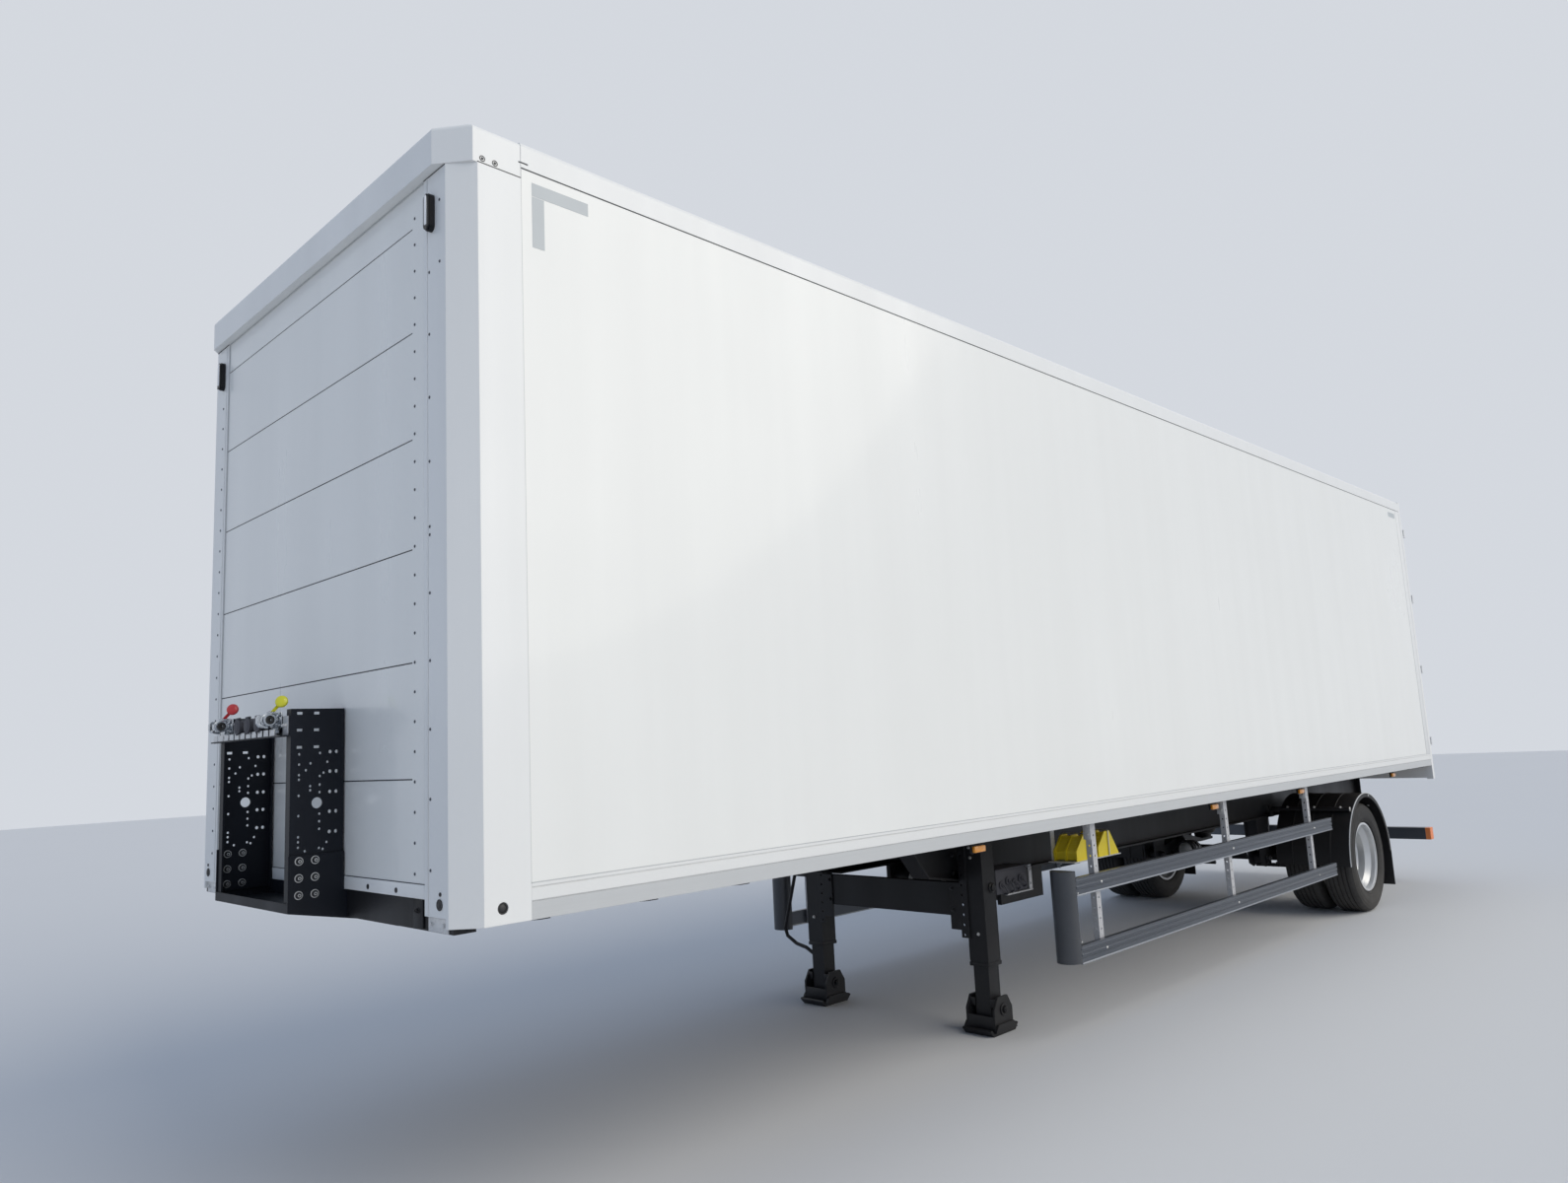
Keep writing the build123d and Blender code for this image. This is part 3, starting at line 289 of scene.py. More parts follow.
@dataclass(frozen=True)
class Finish:
    """One finish of the trailer: a colour with its grain, gloss, dust and wear.

    The relief is the depth of the grain, the shade is how far the colour varies, and the edge is
    the radius to which sharp edges look rounded. A second colour may start at a height.
    """

    name: str
    slot: str
    colour: Colour
    grain: Grain
    roughness: float
    relief: float
    shade: float
    dust: float
    dust_top: float = 1.3
    edge: float = 0.0
    metallic: float = 0.0
    coat: float = 0.0
    specular: float = 0.5
    size: float = 1.0
    bare: Colour | None = None
    upper: Colour | None = None
    upper_from: float = 0.0

    def material(self) -> bpy.types.Material:
        """Return the material of this finish, which is built on first use."""
        return bpy.data.materials.get(self.name) or self.make()

    def make(self) -> bpy.types.Material:
        """Build the material.

        Returns:
            A material whose colour, roughness and bump come from its grain and dust.
        """
        made = bpy.data.materials.new(self.name)
        made.use_nodes = True
        made.node_tree.nodes.clear()
        graph = Graph(made.node_tree)
        grain = graph.group(EFFECTS.grain(self.grain), Size=self.size)
        dust = EFFECTS.group("road_dust", EFFECTS.dust, Amount=0.3, Top=1.2)
        mask = graph.group(dust, Amount=self.dust, Top=self.dust_top)["Mask"]
        dark, light = (tuple(min(part * share, 1.0) for part in self.colour) + (1.0,)
                       for share in (1 - self.shade, 1 + self.shade))
        colour = graph.tone(grain["Tint"], dark, light)
        if self.upper:
            above = graph.maths("GREATER_THAN", graph.part(graph.place()), self.upper_from)
            colour = graph.tone(above, colour, self.upper + (1.0,))
        bump = {"Height": grain["Height"], "Strength": 0.6, "Distance": self.relief}
        if self.edge:
            edges = graph.group(EFFECTS.group("edge_wear", EFFECTS.edges, Radius=0.002),
                                Radius=self.edge)
            bump["Normal"] = edges["Normal"]
            if self.bare:
                colour = graph.tone(edges["Wear"], colour, self.bare + (1.0,))
        gloss = graph.ramp(grain["Tint"], 0.0, 1.0, self.roughness * 1.15, self.roughness * 0.85)
        given = {"Base Color": graph.tone(mask, colour, DUST_COLOUR),
                 "Roughness": graph.maths("ADD", gloss, graph.times(mask, 0.5)),
                 "Normal": graph.node("Bump", bump).outputs[0], "Coat Roughness": 0.08,
                 "Specular IOR Level": self.specular}
        if self.metallic:
            given["Metallic"] = graph.ramp(mask, 0.0, 1.0, self.metallic, 0.0)
        if self.coat:
            given["Coat Weight"] = graph.ramp(mask, 0.0, 0.6, self.coat, 0.0)
        shader = graph.node("BsdfPrincipled", given)
        graph.node("OutputMaterial", {"Surface": shader.outputs[0]})
        return made


# Name, slot, colour, grain, roughness, relief, shade and dust
WHITE_SKIN = Finish("white_skin", "white_panel", (0.86, 0.857, 0.822), Grain.SPRAYED, 0.32,
                    0.00012, 0.02, 0.08, dust_top=1.9, coat=0.3)
WHITE_PAINT = Finish("white_paint", "white_metal", (0.83, 0.83, 0.81), Grain.SPRAYED, 0.36,
                     0.00015, 0.025, 0.10, dust_top=1.9, edge=0.003, coat=0.25)
RAIL_GREY = Finish("anodised_rail", "rail_metal", (0.56, 0.57, 0.57), Grain.ROLLED, 0.42, 0.0001,
                   0.06, 0.12, 1.9, 0.002, upper=(0.80, 0.80, 0.78), upper_from=1.242)
FLOOR_BROWN = Finish("floor_coating", "floor_board", (0.20, 0.135, 0.09), Grain.BOARD, 0.55,
                     0.0006, 0.45, 0.35, dust_top=1.6)
CHASSIS_BLACK = Finish("chassis_paint", "chassis_black", (0.0095, 0.010, 0.0125), Grain.SPRAYED,
                       0.44, 0.0003, 0.35, 0.05, edge=0.003, specular=0.28, bare=(0.06, 0.06, 0.06))
CONSOLE_BLACK = Finish("console_paint", "chassis_black", (0.0055, 0.0075, 0.0125), Grain.SPRAYED,
                       0.46, 0.0002, 0.3, 0.01, dust_top=2.4, edge=0.002, specular=0.2)
GUARD_GREY = Finish("guard_aluminium", "guard_grey", (0.088, 0.10, 0.121), Grain.ROLLED, 0.3,
                    0.00012, 0.12, 0.08, edge=0.003, metallic=0.55, bare=(0.22, 0.23, 0.25))
# A paler copy of the guard aluminium, which paints the highlight along the rails' lower lips.
LIP_HIGHLIGHT_GREY = Finish("guard_lip_painted_highlight", "guard_grey", (0.36, 0.38, 0.41), Grain.ROLLED, 0.28,
                  0.00008, 0.1, 0.08, metallic=0.6)
ZINC = Finish("galvanised_sheet", "zinc", (0.62, 0.63, 0.64), Grain.SPANGLED, 0.42, 0.00012,
              0.16, 0.12, edge=0.0015, metallic=0.5)
POST_ZINC = Finish("galvanised_post", "zinc", (0.52, 0.52, 0.53), Grain.SPANGLED, 0.44, 0.00012,
                   0.16, 0.12, edge=0.0015, metallic=0.3, specular=0.4)
NOSE_GREY = Finish("guard_nose_aluminium", "guard_grey", (0.058, 0.064, 0.075), Grain.ROLLED,
                   0.34, 0.00012, 0.15, 0.10, metallic=0.4)
FASTENER = Finish("plated_fastener", "zinc", (0.60, 0.60, 0.59), Grain.CAST, 0.34, 0.0001, 0.15,
                  0.12, metallic=0.8)
RIVET_STEEL = Finish("rivet_steel", "zinc", (0.085, 0.09, 0.105), Grain.CAST, 0.4, 0.0001, 0.15,
                     0.04, metallic=0.5)
BLACK_FASTENER = Finish("black_fastener", "chassis_black", (0.022, 0.023, 0.027), Grain.CAST,
                        0.32, 0.0001, 0.2, 0.06, metallic=0.4)
KING_STEEL = Finish("greased_steel", "kingpin_steel", (0.24, 0.22, 0.20), Grain.TURNED, 0.3,
                    0.0001, 0.3, 0.1, metallic=0.9)
CAST_METAL = Finish("coupling_casting", "coupling_metal", (0.44, 0.47, 0.51), Grain.CAST, 0.2,
                    0.00025, 0.18, 0.03, dust_top=2.5, metallic=0.9)
SOCKET_BLACK = Finish("socket_plastic", "socket_plastic", (0.006, 0.0065, 0.0085), Grain.MOULDED,
                      0.5, 0.0002, 0.25, 0.01, dust_top=2.5, specular=0.1)
RIM_SILVER = Finish("silver_wheel_paint", "rim_silver", (0.70, 0.71, 0.72), Grain.SPRAYED, 0.27,
                    0.0002, 0.08, 0.12, edge=0.0025, metallic=0.5, coat=0.25)
HUB_IRON = Finish("hub_casting", "hub_iron", (0.06, 0.059, 0.057), Grain.CAST, 0.55, 0.0006,
                  0.35, 0.25, metallic=0.35)
TYRE_BLACK = Finish("tyre_rubber", "tyre", (0.019, 0.019, 0.020), Grain.RUBBER, 0.72, 0.0004,
                    0.3, 0.20, dust_top=0.9, specular=0.35)
BELLOWS_BLACK = Finish("bellows_rubber", "bellows", (0.018, 0.018, 0.019), Grain.RUBBER, 0.6,
                       0.0003, 0.3, 0.2)
SEAL_BLACK = Finish("seal_rubber", "bellows", (0.02, 0.02, 0.022), Grain.RUBBER, 0.55, 0.0002,
                    0.2, 0.08, dust_top=2.0)
GUARD_PLASTIC = Finish("mudguard_plastic", "guard_plastic", (0.011, 0.011, 0.0125),
                       Grain.MOULDED, 0.48, 0.0003, 0.25, 0.06, specular=0.28)
CHOCK_YELLOW = Finish("chock_plastic", "chock_yellow", (0.86, 0.68, 0.02), Grain.MOULDED, 0.45,
                      0.0003, 0.1, 0.08)
END_ORANGE = Finish("orange_plastic", "end_orange", (0.86, 0.24, 0.06), Grain.MOULDED, 0.42,
                    0.0002, 0.08, 0.12, coat=0.2)
LENS_RED = Finish("red_lens", "lamp_red", (0.42, 0.012, 0.012), Grain.FLUTED, 0.16, 0.0008,
                  0.25, 0.1, coat=0.8)
LENS_AMBER = Finish("amber_lens", "lamp_amber", (0.92, 0.34, 0.02), Grain.FLUTED, 0.16, 0.0008,
                    0.2, 0.04, coat=0.8)
LENS_CLEAR = Finish("clear_lens", "lamp_white", (0.90, 0.91, 0.93), Grain.FLUTED, 0.12, 0.0005,
                    0.06, 0.02, coat=0.9)
LAMP_BLACK = Finish("lamp_housing", "lamp_white", (0.008, 0.008, 0.010), Grain.MOULDED, 0.35,
                    0.0002, 0.2, 0.03, specular=0.3)
TAPE_GREY = Finish("marking_tape", "white_panel", (0.50, 0.53, 0.54), Grain.MOULDED, 0.35,
                   0.0002, 0.06, 0.05, size=0.6)
PALE_SEAL = Finish("pale_sealant", "bellows", (0.52, 0.53, 0.53), Grain.RUBBER, 0.6, 0.0002,
                   0.15, 0.05)
# Dark strips in the seams, and painted shadow under the top rails, under the cap and in the drip
# slot.
SEAM_AND_SHADOW_DARK = Finish("seam_sealant_and_painted_shadow", "bellows", (0.045, 0.047, 0.052), Grain.RUBBER, 0.6, 0.0002,
                  0.25, 0.04)
CAP_RED = Finish("red_cap_plastic", "lamp_red", (0.62, 0.015, 0.02), Grain.MOULDED, 0.3, 0.0001,
                 0.12, 0.02, dust_top=2.6, coat=0.4)
CAP_YELLOW = Finish("yellow_cap_plastic", "chock_yellow", (0.80, 0.76, 0.02), Grain.MOULDED, 0.3,
                    0.0001, 0.1, 0.02, dust_top=2.6, coat=0.4)


class Shape:
    """A mesh put together from plain solids, at places measured from its origin."""

    def __init__(self, x: float = 0.0, y: float = 0.0, z: float = 0.0) -> None:
        """Start with an empty mesh."""
        self.mesh = bmesh.new()
        self.to(x, y, z)

    def to(self, x: float, y: float, z: float) -> None:
        """Move the origin."""
        self.origin = Vector((x, y, z))

    def corner(self, point: Iterable[float]) -> bmesh.types.BMVert:
        """Return a new corner of the mesh."""
        return self.mesh.verts.new(self.origin + Vector(point))

    def bands(self, rings: list[list]) -> None:
        """Join each ring of corners to the next one.

        Args:
            rings: Corners of each ring; a ring of one corner repeated closes a cone.
        """
        for first, second in zip(rings, rings[1:]):
            for step in range(len(first)):
                after = (step + 1) % len(first)
                corners = [first[step], first[after], second[after], second[step]]
                kept = list(dict.fromkeys(corners))
                if len(kept) > 2:
                    self.mesh.faces.new(kept)

    def box(self, low: Iterable[float], high: Iterable[float], bevel: float = 0.0015) -> None:
        """Add a block with softened edges.

        Args:
            low: One corner.
            high: The opposite corner.
            bevel: Width of the softened edges.
        """
        first, last = Vector(low), Vector(high)
        size = Vector([abs(a - b) for a, b in zip(first, last)])
        matrix = Matrix.LocRotScale(self.origin + (first + last) / 2, None, size)
        made = bmesh.ops.create_cube(self.mesh, size=1.0, matrix=matrix)["verts"]
        width = min(bevel, min(size) * 0.3)
        if width > 0:
            edges = list({edge for corner in made for edge in corner.link_edges})
            bmesh.ops.bevel(self.mesh, geom=edges, offset=width, segments=2, profile=0.5,
                            affect="EDGES")

    def lathe(self, centre: Iterable[float], axis: Iterable[float], profile: Profile,
              segments: int = 32, closed: bool = False,
              notch: Callable[[int, int], float] | None = None) -> None:
        """Turn an outline about an axis.

        Args:
            centre: Point on the axis.
            axis: Direction of the axis.
            profile: Radius and distance along the axis of each point.
            segments: Number of steps round the axis.
            closed: Whether the last point joins the first.
            notch: Depth to take off the radius, given the step and the number of the point.
        """
        along = Vector(axis).normalized()
        across = Vector((along.y, along.z, along.x)).cross(along).normalized()
        other = along.cross(across)
        rings = []
        for index, (radius, distance) in enumerate(profile):
            hub = Vector(centre) + along * distance
            if radius < 1e-6:
                rings.append([self.corner(hub)] * segments)
                continue
            ring = []
            for step in range(segments):
                turn = 2 * pi * step / segments
                reach = radius - (notch(step, index) if notch else 0.0)
                ring.append(self.corner(hub + (across * cos(turn) + other * sin(turn)) * reach))
            rings.append(ring)
        self.bands(rings + rings[:1] if closed else rings)
        for ring in () if closed else (rings[0], rings[-1]):
            if len(set(ring)) > 2:
                self.mesh.faces.new(ring)

    def rod(self, start: Iterable[float], end: Iterable[float], radius: float,
            segments: int = 24, chamfer: float = 0.001) -> None:
        """Add a round bar with softened ends.

        Args:
            start: Middle of one end.
            end: Middle of the other end.
            radius: Radius of the bar.
            segments: Number of sides.
            chamfer: Width of the softened ends.
        """
        way = Vector(end) - Vector(start)
        cut = min(chamfer, radius * 0.4, way.length * 0.3)
        self.lathe(start, way, [(radius - cut, 0), (radius, cut), (radius, way.length - cut),
                                (radius - cut, way.length)], segments)

    def ring(self, centre: Iterable[float], axis: Iterable[float], inner: float, outer: float,
             low: float, high: float, segments: int = 32) -> None:
        """Add a washer or sleeve.

        Args:
            centre: Point on its axis.
            axis: Direction of its axis.
            inner: Radius of its hole.
            outer: Its own radius.
            low: Where it starts along the axis.
            high: Where it ends.
            segments: Number of sides.
        """
        cut = min((outer - inner) * 0.25, (high - low) * 0.25)
        self.lathe(centre, axis, [(inner, low), (outer - cut, low), (outer, low + cut),
                                  (outer, high - cut), (outer - cut, high), (inner, high)],
                   segments, closed=True)

    def nut(self, seat: Iterable[float], axis: Iterable[float], radius: float,
            stud: float = 0.5) -> None:
        """Add a washer, a hexagon nut and the end of its bolt.

        Args:
            seat: Middle of the washer, on the surface.
            axis: Direction that the bolt's end points to.
            radius: Radius of the hexagon's corners.
            stud: Length of the bolt's end beyond the nut, in radii.
        """
        self.rod(seat, Vector(seat) + Vector(axis) * radius * 0.2, radius * 1.32, 20, 0.0005)
        hexagon = [(0.9, 0.2), (1.0, 0.3), (1.0, 0.96), (0.86, 1.1)]
        thread = [(0.52, 1.1), (0.52, 0.98 + stud), (0.4, 1.1 + stud)]
        for outline, segments in ((hexagon, 6), (thread, 14)) if stud else ((hexagon, 6),):
            self.lathe(seat, axis, [(radius * a, radius * b) for a, b in outline], segments)

    def rivet(self, seat: Iterable[float], axis: Iterable[float], radius: float) -> None:
        """Add a low domed head."""
        dome = ((1.0, 0), (0.94, 0.22), (0.68, 0.42), (0.3, 0.5), (0, 0.52))
        self.lathe(seat, axis, [(radius * a, radius * b) for a, b in dome], 14)

    def prism(self, outline: Iterable[Iterable[float]], along: Place) -> None:
        """Add a straight bar with a flat outline.

        Args:
            outline: Points of its near end.
            along: Vector that it is swept along.
        """
        points = [Vector(point) for point in outline]
        ends = [[self.corner(point) for point in points],
                [self.corner(point + Vector(along)) for point in points]]
        self.bands(ends)
        for end in ends:
            self.mesh.faces.new(end)

    def pipe(self, route: Iterable[Place], radius: float, bend: float = 0.05,
             segments: int = 12) -> None:
        """Add a round pipe with bends at the corners of its route.

        Args:
            route: Corners that it is laid out by.
            radius: Radius of the pipe.
            bend: Distance before a corner at which it starts to turn.
            segments: Number of sides.
        """
        corners = [Vector(point) for point in route]
        path = [corners[0]]
        for before, corner, after in zip(corners, corners[1:], corners[2:]):
            start, end = (corner + (other - corner).normalized()
                          * min(bend, (other - corner).length / 2) for other in (before, after))
            for share in (0.0, 0.25, 0.5, 0.75, 1.0):
                path.append(start.lerp(corner, share).lerp(corner.lerp(end, share), share))
        path.append(corners[-1])
        rings = []
        side = (path[1] - path[0]).orthogonal().normalized()
        for index, point in enumerate(path):
            ahead = (path[min(index + 1, len(path) - 1)] - path[max(index - 1, 0)]).normalized()
            side = (side - ahead * side.dot(ahead)).normalized()
            other = ahead.cross(side)
            turns = [2 * pi * step / segments for step in range(segments)]
            rings.append([self.corner(point + (side * cos(turn) + other * sin(turn)) * radius)
                          for turn in turns])
        self.bands(rings)
        for ring in (rings[0], rings[-1]):
            self.mesh.faces.new(ring)

    def piece(self, name: str, finish: Finish, *stands_for: str, body: str = "trailer",
              smooth: float = 32.0) -> None:
        """Turn the shape into a piece of the visual model.

        Args:
            name: Name of the piece.
            finish: Its finish.
            stands_for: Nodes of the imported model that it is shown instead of.
            body: The body that it moves with.
            smooth: Angle in degrees above which an edge stays sharp.
        """
        bmesh.ops.recalc_face_normals(self.mesh, faces=self.mesh.faces[:])
        data = bpy.data.meshes.new(name)
        self.mesh.to_mesh(data)
        self.mesh.free()
        data.materials.append(finish.material())
        data.shade_smooth()
        data.set_sharp_from_angle(angle=radians(smooth))
        made = bpy.data.objects.new(name, data)
        bpy.context.scene.collection.objects.link(made)
        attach(made, body)
        if stands_for:
            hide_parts(*stands_for)
        log.info("%s: %d faces, on %s", name, len(data.polygons), body)

    def mirror(self) -> None:
        """Add the same again on the other side of the vehicle."""
        geometry = self.mesh.verts[:] + self.mesh.edges[:] + self.mesh.faces[:]
        for item in bmesh.ops.duplicate(self.mesh, geom=geometry)["geom"]:
            if isinstance(item, bmesh.types.BMVert):
                item.co.y = -item.co.y

    def pair(self, name: str, finish: Finish, *stands_for: str) -> None:
        """Turn the shape and its mirror image into one piece."""
        self.mirror()
        self.piece(name, finish, *stands_for)


def dress(finish: Finish, *nodes: str) -> None:
    """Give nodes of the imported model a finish.

    Args:
        finish: The finish.
        nodes: Names of the nodes.
    """
    for name in nodes:
        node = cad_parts[name]
        if not node.material_slots:
            node.data.materials.append(None)
        for slot in node.material_slots:
            slot.material = finish.material()
        log.info("%s: %s", name, finish.name)


def steps(first: float, last: float, pitch: float) -> list[float]:
    """Return places at a pitch from the first up to the last."""
    return [first + pitch * index for index in range(int((last - first) / pitch + 1e-6) + 1)]


def middle(node: str) -> float:
    """Return the middle of a node along the vehicle."""
    low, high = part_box(node)
    return (low.x + high.x) / 2


def circle(radius: float, count: int, first: float = 0.0) -> list[tuple[float, float]]:
    """Return points spread round a circle, of which the first is at a number of degrees."""
    turns = [radians(first + 360 * index / count) for index in range(count)]
    return [(radius * cos(turn), radius * sin(turn)) for turn in turns]


@dataclass
class BoxBody:
    """The white box: rivets, seams, tapes, bolts and the roof's joints."""

    rivet: float = 0.0058
    recess: float = 0.006
    rivet_columns: Table = ((0.948, 1.345, 0.104, 0.006), (-1.09, 1.345, 0.104, 0.0),
                            (1.072, 1.363, 0.235, 0.0), (1.150, 3.493, 0.235, 0.0),
                            (1.072, 2.509, 9.0, 0.0))
    front_bolts: Row = (0.589, 0.814)
    front_bolt_level: float = 1.284
    foot_top: float = 1.312
    foot_half: float = 1.0295
    seam_levels: Row = (3.700, 3.293, 2.886, 2.479, 2.072, 1.665)
    cap_side: float = 1.2735
    cap_bolts: Row = (0.102, 0.153)
    cap_bolt_level: float = 3.870
    slot_backs: Row = (0.2515, 0.2905)
    slot_level: float = 3.914
    plug: Row = (1.135, 1.255)
    side_plug: Place = (0.151, 1.267, 1.233)
    tape_from: float = 0.307
    tape_width: float = 0.052
    tape_length: float = 0.252
    seam: float = 0.004
    trim_depth: float = 0.123
    roof_pitch: float = 1.2

    def rivets(self) -> None:
        """Build the rivet columns of the front wall and its posts."""
        shape = Shape(FACE)
        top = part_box("corner_posts")[1].z - 0.08
        for across, first, pitch, recess in self.rivet_columns:
            for level in steps(first, top, pitch):
                shape.rivet((-recess, across, level), AHEAD, self.rivet)
        shape.piece("front_wall_rivets", RIVET_STEEL)

    def front_fasteners(self) -> None:
        """Build the bolts along the foot of the front wall and the plugs in the posts."""
        shape = Shape()
        for across in self.front_bolts:
            shape.to(FACE - self.recess + 0.003, across, self.front_bolt_level)
            shape.ring(HERE, AHEAD, 0.005, 0.0095, 0, 0.0022)
            shape.rivet(HERE, AHEAD, 0.0062)
        for back in self.cap_bolts:
            shape.to(FACE - back, self.cap_side, self.cap_bolt_level)
            shape.ring(HERE, OUT, 0.0085, 0.0115, 0, 0.0013, 28)
            shape.rod(HERE, (0, 0.0013, 0), 0.0055, 6, 0.0003)
        shape.pair("front_foot_bolts", BLACK_FASTENER)
        plugs = Shape(FACE, *self.plug)
        plugs.ring(HERE, AHEAD, 0.012, 0.019, 0, 0.0035)
        plugs.rivet(HERE, AHEAD, 0.0125)
        plugs.ring((0, 0.004, 0.034), AHEAD, 0.003, 0.007, 0, 0.003)
        back, across, level = self.side_plug
        plugs.to(FACE - back, across, level)
        plugs.ring(HERE, OUT, 0.015, 0.0198, 0, 0.0055)
        plugs.rivet(HERE, OUT, 0.0152)
        plugs.pair("front_post_plugs", SEAL_BLACK)

    def wall_foot(self) -> None:
        """Build the fold along the foot of the front wall, the posts' folds, painted shadow lines
        and the brackets.
        """
        step = FACE - 0.015
        folds, dark, black, zinc = Shape(FACE), Shape(FACE), Shape(step), Shape(step)
        cap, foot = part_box("front_cap")[0].z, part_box("front_wall")[0].z
        back, half, top = -self.recess, self.foot_half, self.foot_top
        folds.box((back, -half, foot), (back + 0.003, 0, top), 0.0008)
        folds.box((0, 1.050, foot - 0.05), (0.0016, 1.060, cap - 0.004), 0.0005)
        folds.pair("front_wall_folds", WHITE_PAINT)
        # Dark strips of painted shadow: on top of the foot fold, and on the posts under the cap's
        # overhang.
        dark.box((back, -half, top), (back + 0.0014, 0, top + 0.003), 0)
        dark.box((0, 1.030, cap - 0.004), (0.0008, 1.191, cap), 0)
        dark.pair("front_shadow_gaps", SEAM_AND_SHADOW_DARK)
        black.box((0, 0.930, 1.166), (0.007, 1.000, 1.262), 0.002)
        black.nut((0.007, 0.965, 1.225), AHEAD, 0.009)
        black.pair("front_member_brackets", CHASSIS_BLACK)
        zinc.box((0, 1.036, 1.163), (0.005, 1.170, 1.209), 0.001)
        for across in (1.060, 1.145):
            zinc.nut((0.005, across, 1.188), AHEAD, 0.0065, 0.0)
        zinc.pair("post_foot_brackets", ZINC)

    def tapes(self) -> None:
        """Build the corner tapes of the side walls and the short ones at the rear."""
        low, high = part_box("side_walls")
        wide, front, top = self.tape_width, FACE - self.tape_from, high.z - 0.045
        under = top - wide - 0.003
        shape = Shape(0, high.y)
        for start, foot, end, head in (
                (front - self.tape_length, top - wide, front, top),
                (front - wide, under - self.tape_length + wide, front, under),
                (low.x + 0.165, top - wide, low.x + 0.385, top)):
            shape.box((start, 0, foot), (end, 0.0008, head), 0)
        shape.pair("corner_tapes", TAPE_GREY)

    def seams(self) -> None:
        """Build the walls' sealant and seams, and painted shadow under the rails and cap and in its
        drip slot.
        """
        pale, dark = Shape(), Shape()
        low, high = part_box("side_walls")
        proud, seam, cap = high.y + 0.0012, self.seam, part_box("front_cap")[0].z
        foot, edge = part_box("front_wall")[0].z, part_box("front_wall")[1].y
        front, side = FACE - self.recess, self.cap_side
        pale.box((low.x, high.y, low.z), (high.x, proud, low.z + seam), 0)
        # Dark strip under the top rail: a sealant bead and painted shadow of the rail.
        dark.box((low.x, high.y, high.z - seam), (high.x, proud, high.z), 0)
        pale.box((high.x - seam / 2, high.y, low.z), (high.x, proud, high.z), 0)
        pale.box((front, edge - 0.003, foot), (FACE - 0.002, edge, cap), 0)
        pale.mirror()
        pale.box((front, -edge, cap - 0.004), (FACE - 0.002, edge, cap), 0)
        pale.piece("pale_wall_sealant", PALE_SEAL)
        # Dark line along the lower edge of the cap's arm, on the side.
        dark.box((FACE - 0.260, side, cap), (FACE - 0.082, HALF - 0.0002, cap + 0.0045), 0)
        # Dark strip in the cap's drip slot: painted shade inside the slot.
        near, far = self.slot_backs
        dark.box((FACE - far, side - 0.003, self.slot_level - 0.0028),
                 (FACE - near, side - 0.0012, self.slot_level + 0.0028), 0)
        dark.mirror()
        # Dark lines along the seams of the front wall.
        for level in self.seam_levels:
            dark.box((front - 0.0038, -self.foot_half, level - 0.0024),
                     (front - 0.0012, self.foot_half - 0.1, level + 0.0024), 0)
        dark.piece("dark_seams_and_painted_shadow", SEAM_AND_SHADOW_DARK)

    def rear_trim(self) -> None:
        """Build the cover plates where the side walls meet the rear posts."""
        low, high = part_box("side_walls")
        shape = Shape(low.x, high.y)
        shape.box((0, 0, low.z + self.seam), (self.trim_depth, 0.0017, high.z - self.seam), 0.0005)
        for level in steps(low.z + 0.1, high.z - 0.05, 0.3):
            shape.rivet((0.1, 0.0008, level), OUT, 0.0018)
        shape.pair("rear_wall_trim", WHITE_PAINT)

    def roof(self) -> None:
        """Build the roof's joint strips with their rivets and the edge sealant."""
        low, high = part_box("roof_panel")
        shape = Shape(0, 0, high.z)
        for back in steps(low.x + 0.35, high.x - 0.3, self.roof_pitch):
            shape.box((back - 0.03, low.y, 0), (back + 0.03, high.y, 0.0015), 0.0005)
            for across in steps(low.y + 0.1, high.y - 0.05, 0.15):
                for shift in (0.02, -0.02):
                    shape.rivet((back + shift, across, 0.0015), UP, 0.004)
        for side in SIDES:
            edge = side * high.y
            shape.box((low.x, edge - side * 0.02, 0), (high.x, edge, 0.0025), 0.0008)
        shape.piece("roof_joints", WHITE_PAINT)

    def inside(self) -> None:
        """Build the scuff plates and lashing rails on the inner side of the walls."""
        low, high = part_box("side_walls")
        shape = Shape(0, high.y - 0.026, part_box("floor_panel")[1].z)
        shape.box((low.x, -0.002, 0.095), (high.x, 0, 0.32), 0.0005)
        for back in steps(low.x + 0.2, high.x - 0.1, 0.6):
            for rise in (0.3, 0.12):
                shape.rivet((back, -0.002, rise), IN, 0.005)
        shape.box((low.x, -0.012, 1.2), (high.x, 0, 1.3), 0.002)
        shape.pair("inner_scuff_plates", ZINC)

    def build(self) -> None:
        """Dress the shell of the box and build its fittings."""
        dress(WHITE_SKIN, "side_walls", "front_wall", "roof_panel")
        dress(WHITE_PAINT, "corner_posts", "front_cap", "top_rails", "rear_frame")
        dress(RAIL_GREY, "bottom_rails")
        dress(FLOOR_BROWN, "floor_panel")
        for part in (self.rivets, self.front_fasteners, self.wall_foot, self.tapes, self.seams,
                     self.rear_trim, self.roof, self.inside):
            part()


@dataclass
class Handed:
    """A sub-assembly that is a body of its own, on the left or on the right."""

    side: int
    kind: str

    @property
    def end(self) -> str:
        """Last word of the names of this side's pieces."""
        return "left" if self.side == LEFT else "right"

    @property
    def body(self) -> str:
        """Name of the body that it is."""
        return f"{self.kind}_{self.end}"

    def fit(self, shape: Shape, name: str, finish: Finish) -> None:
        """Turn a shape into a piece of this side's body."""
        shape.piece(f"{name}_{self.end}", finish, body=self.body)


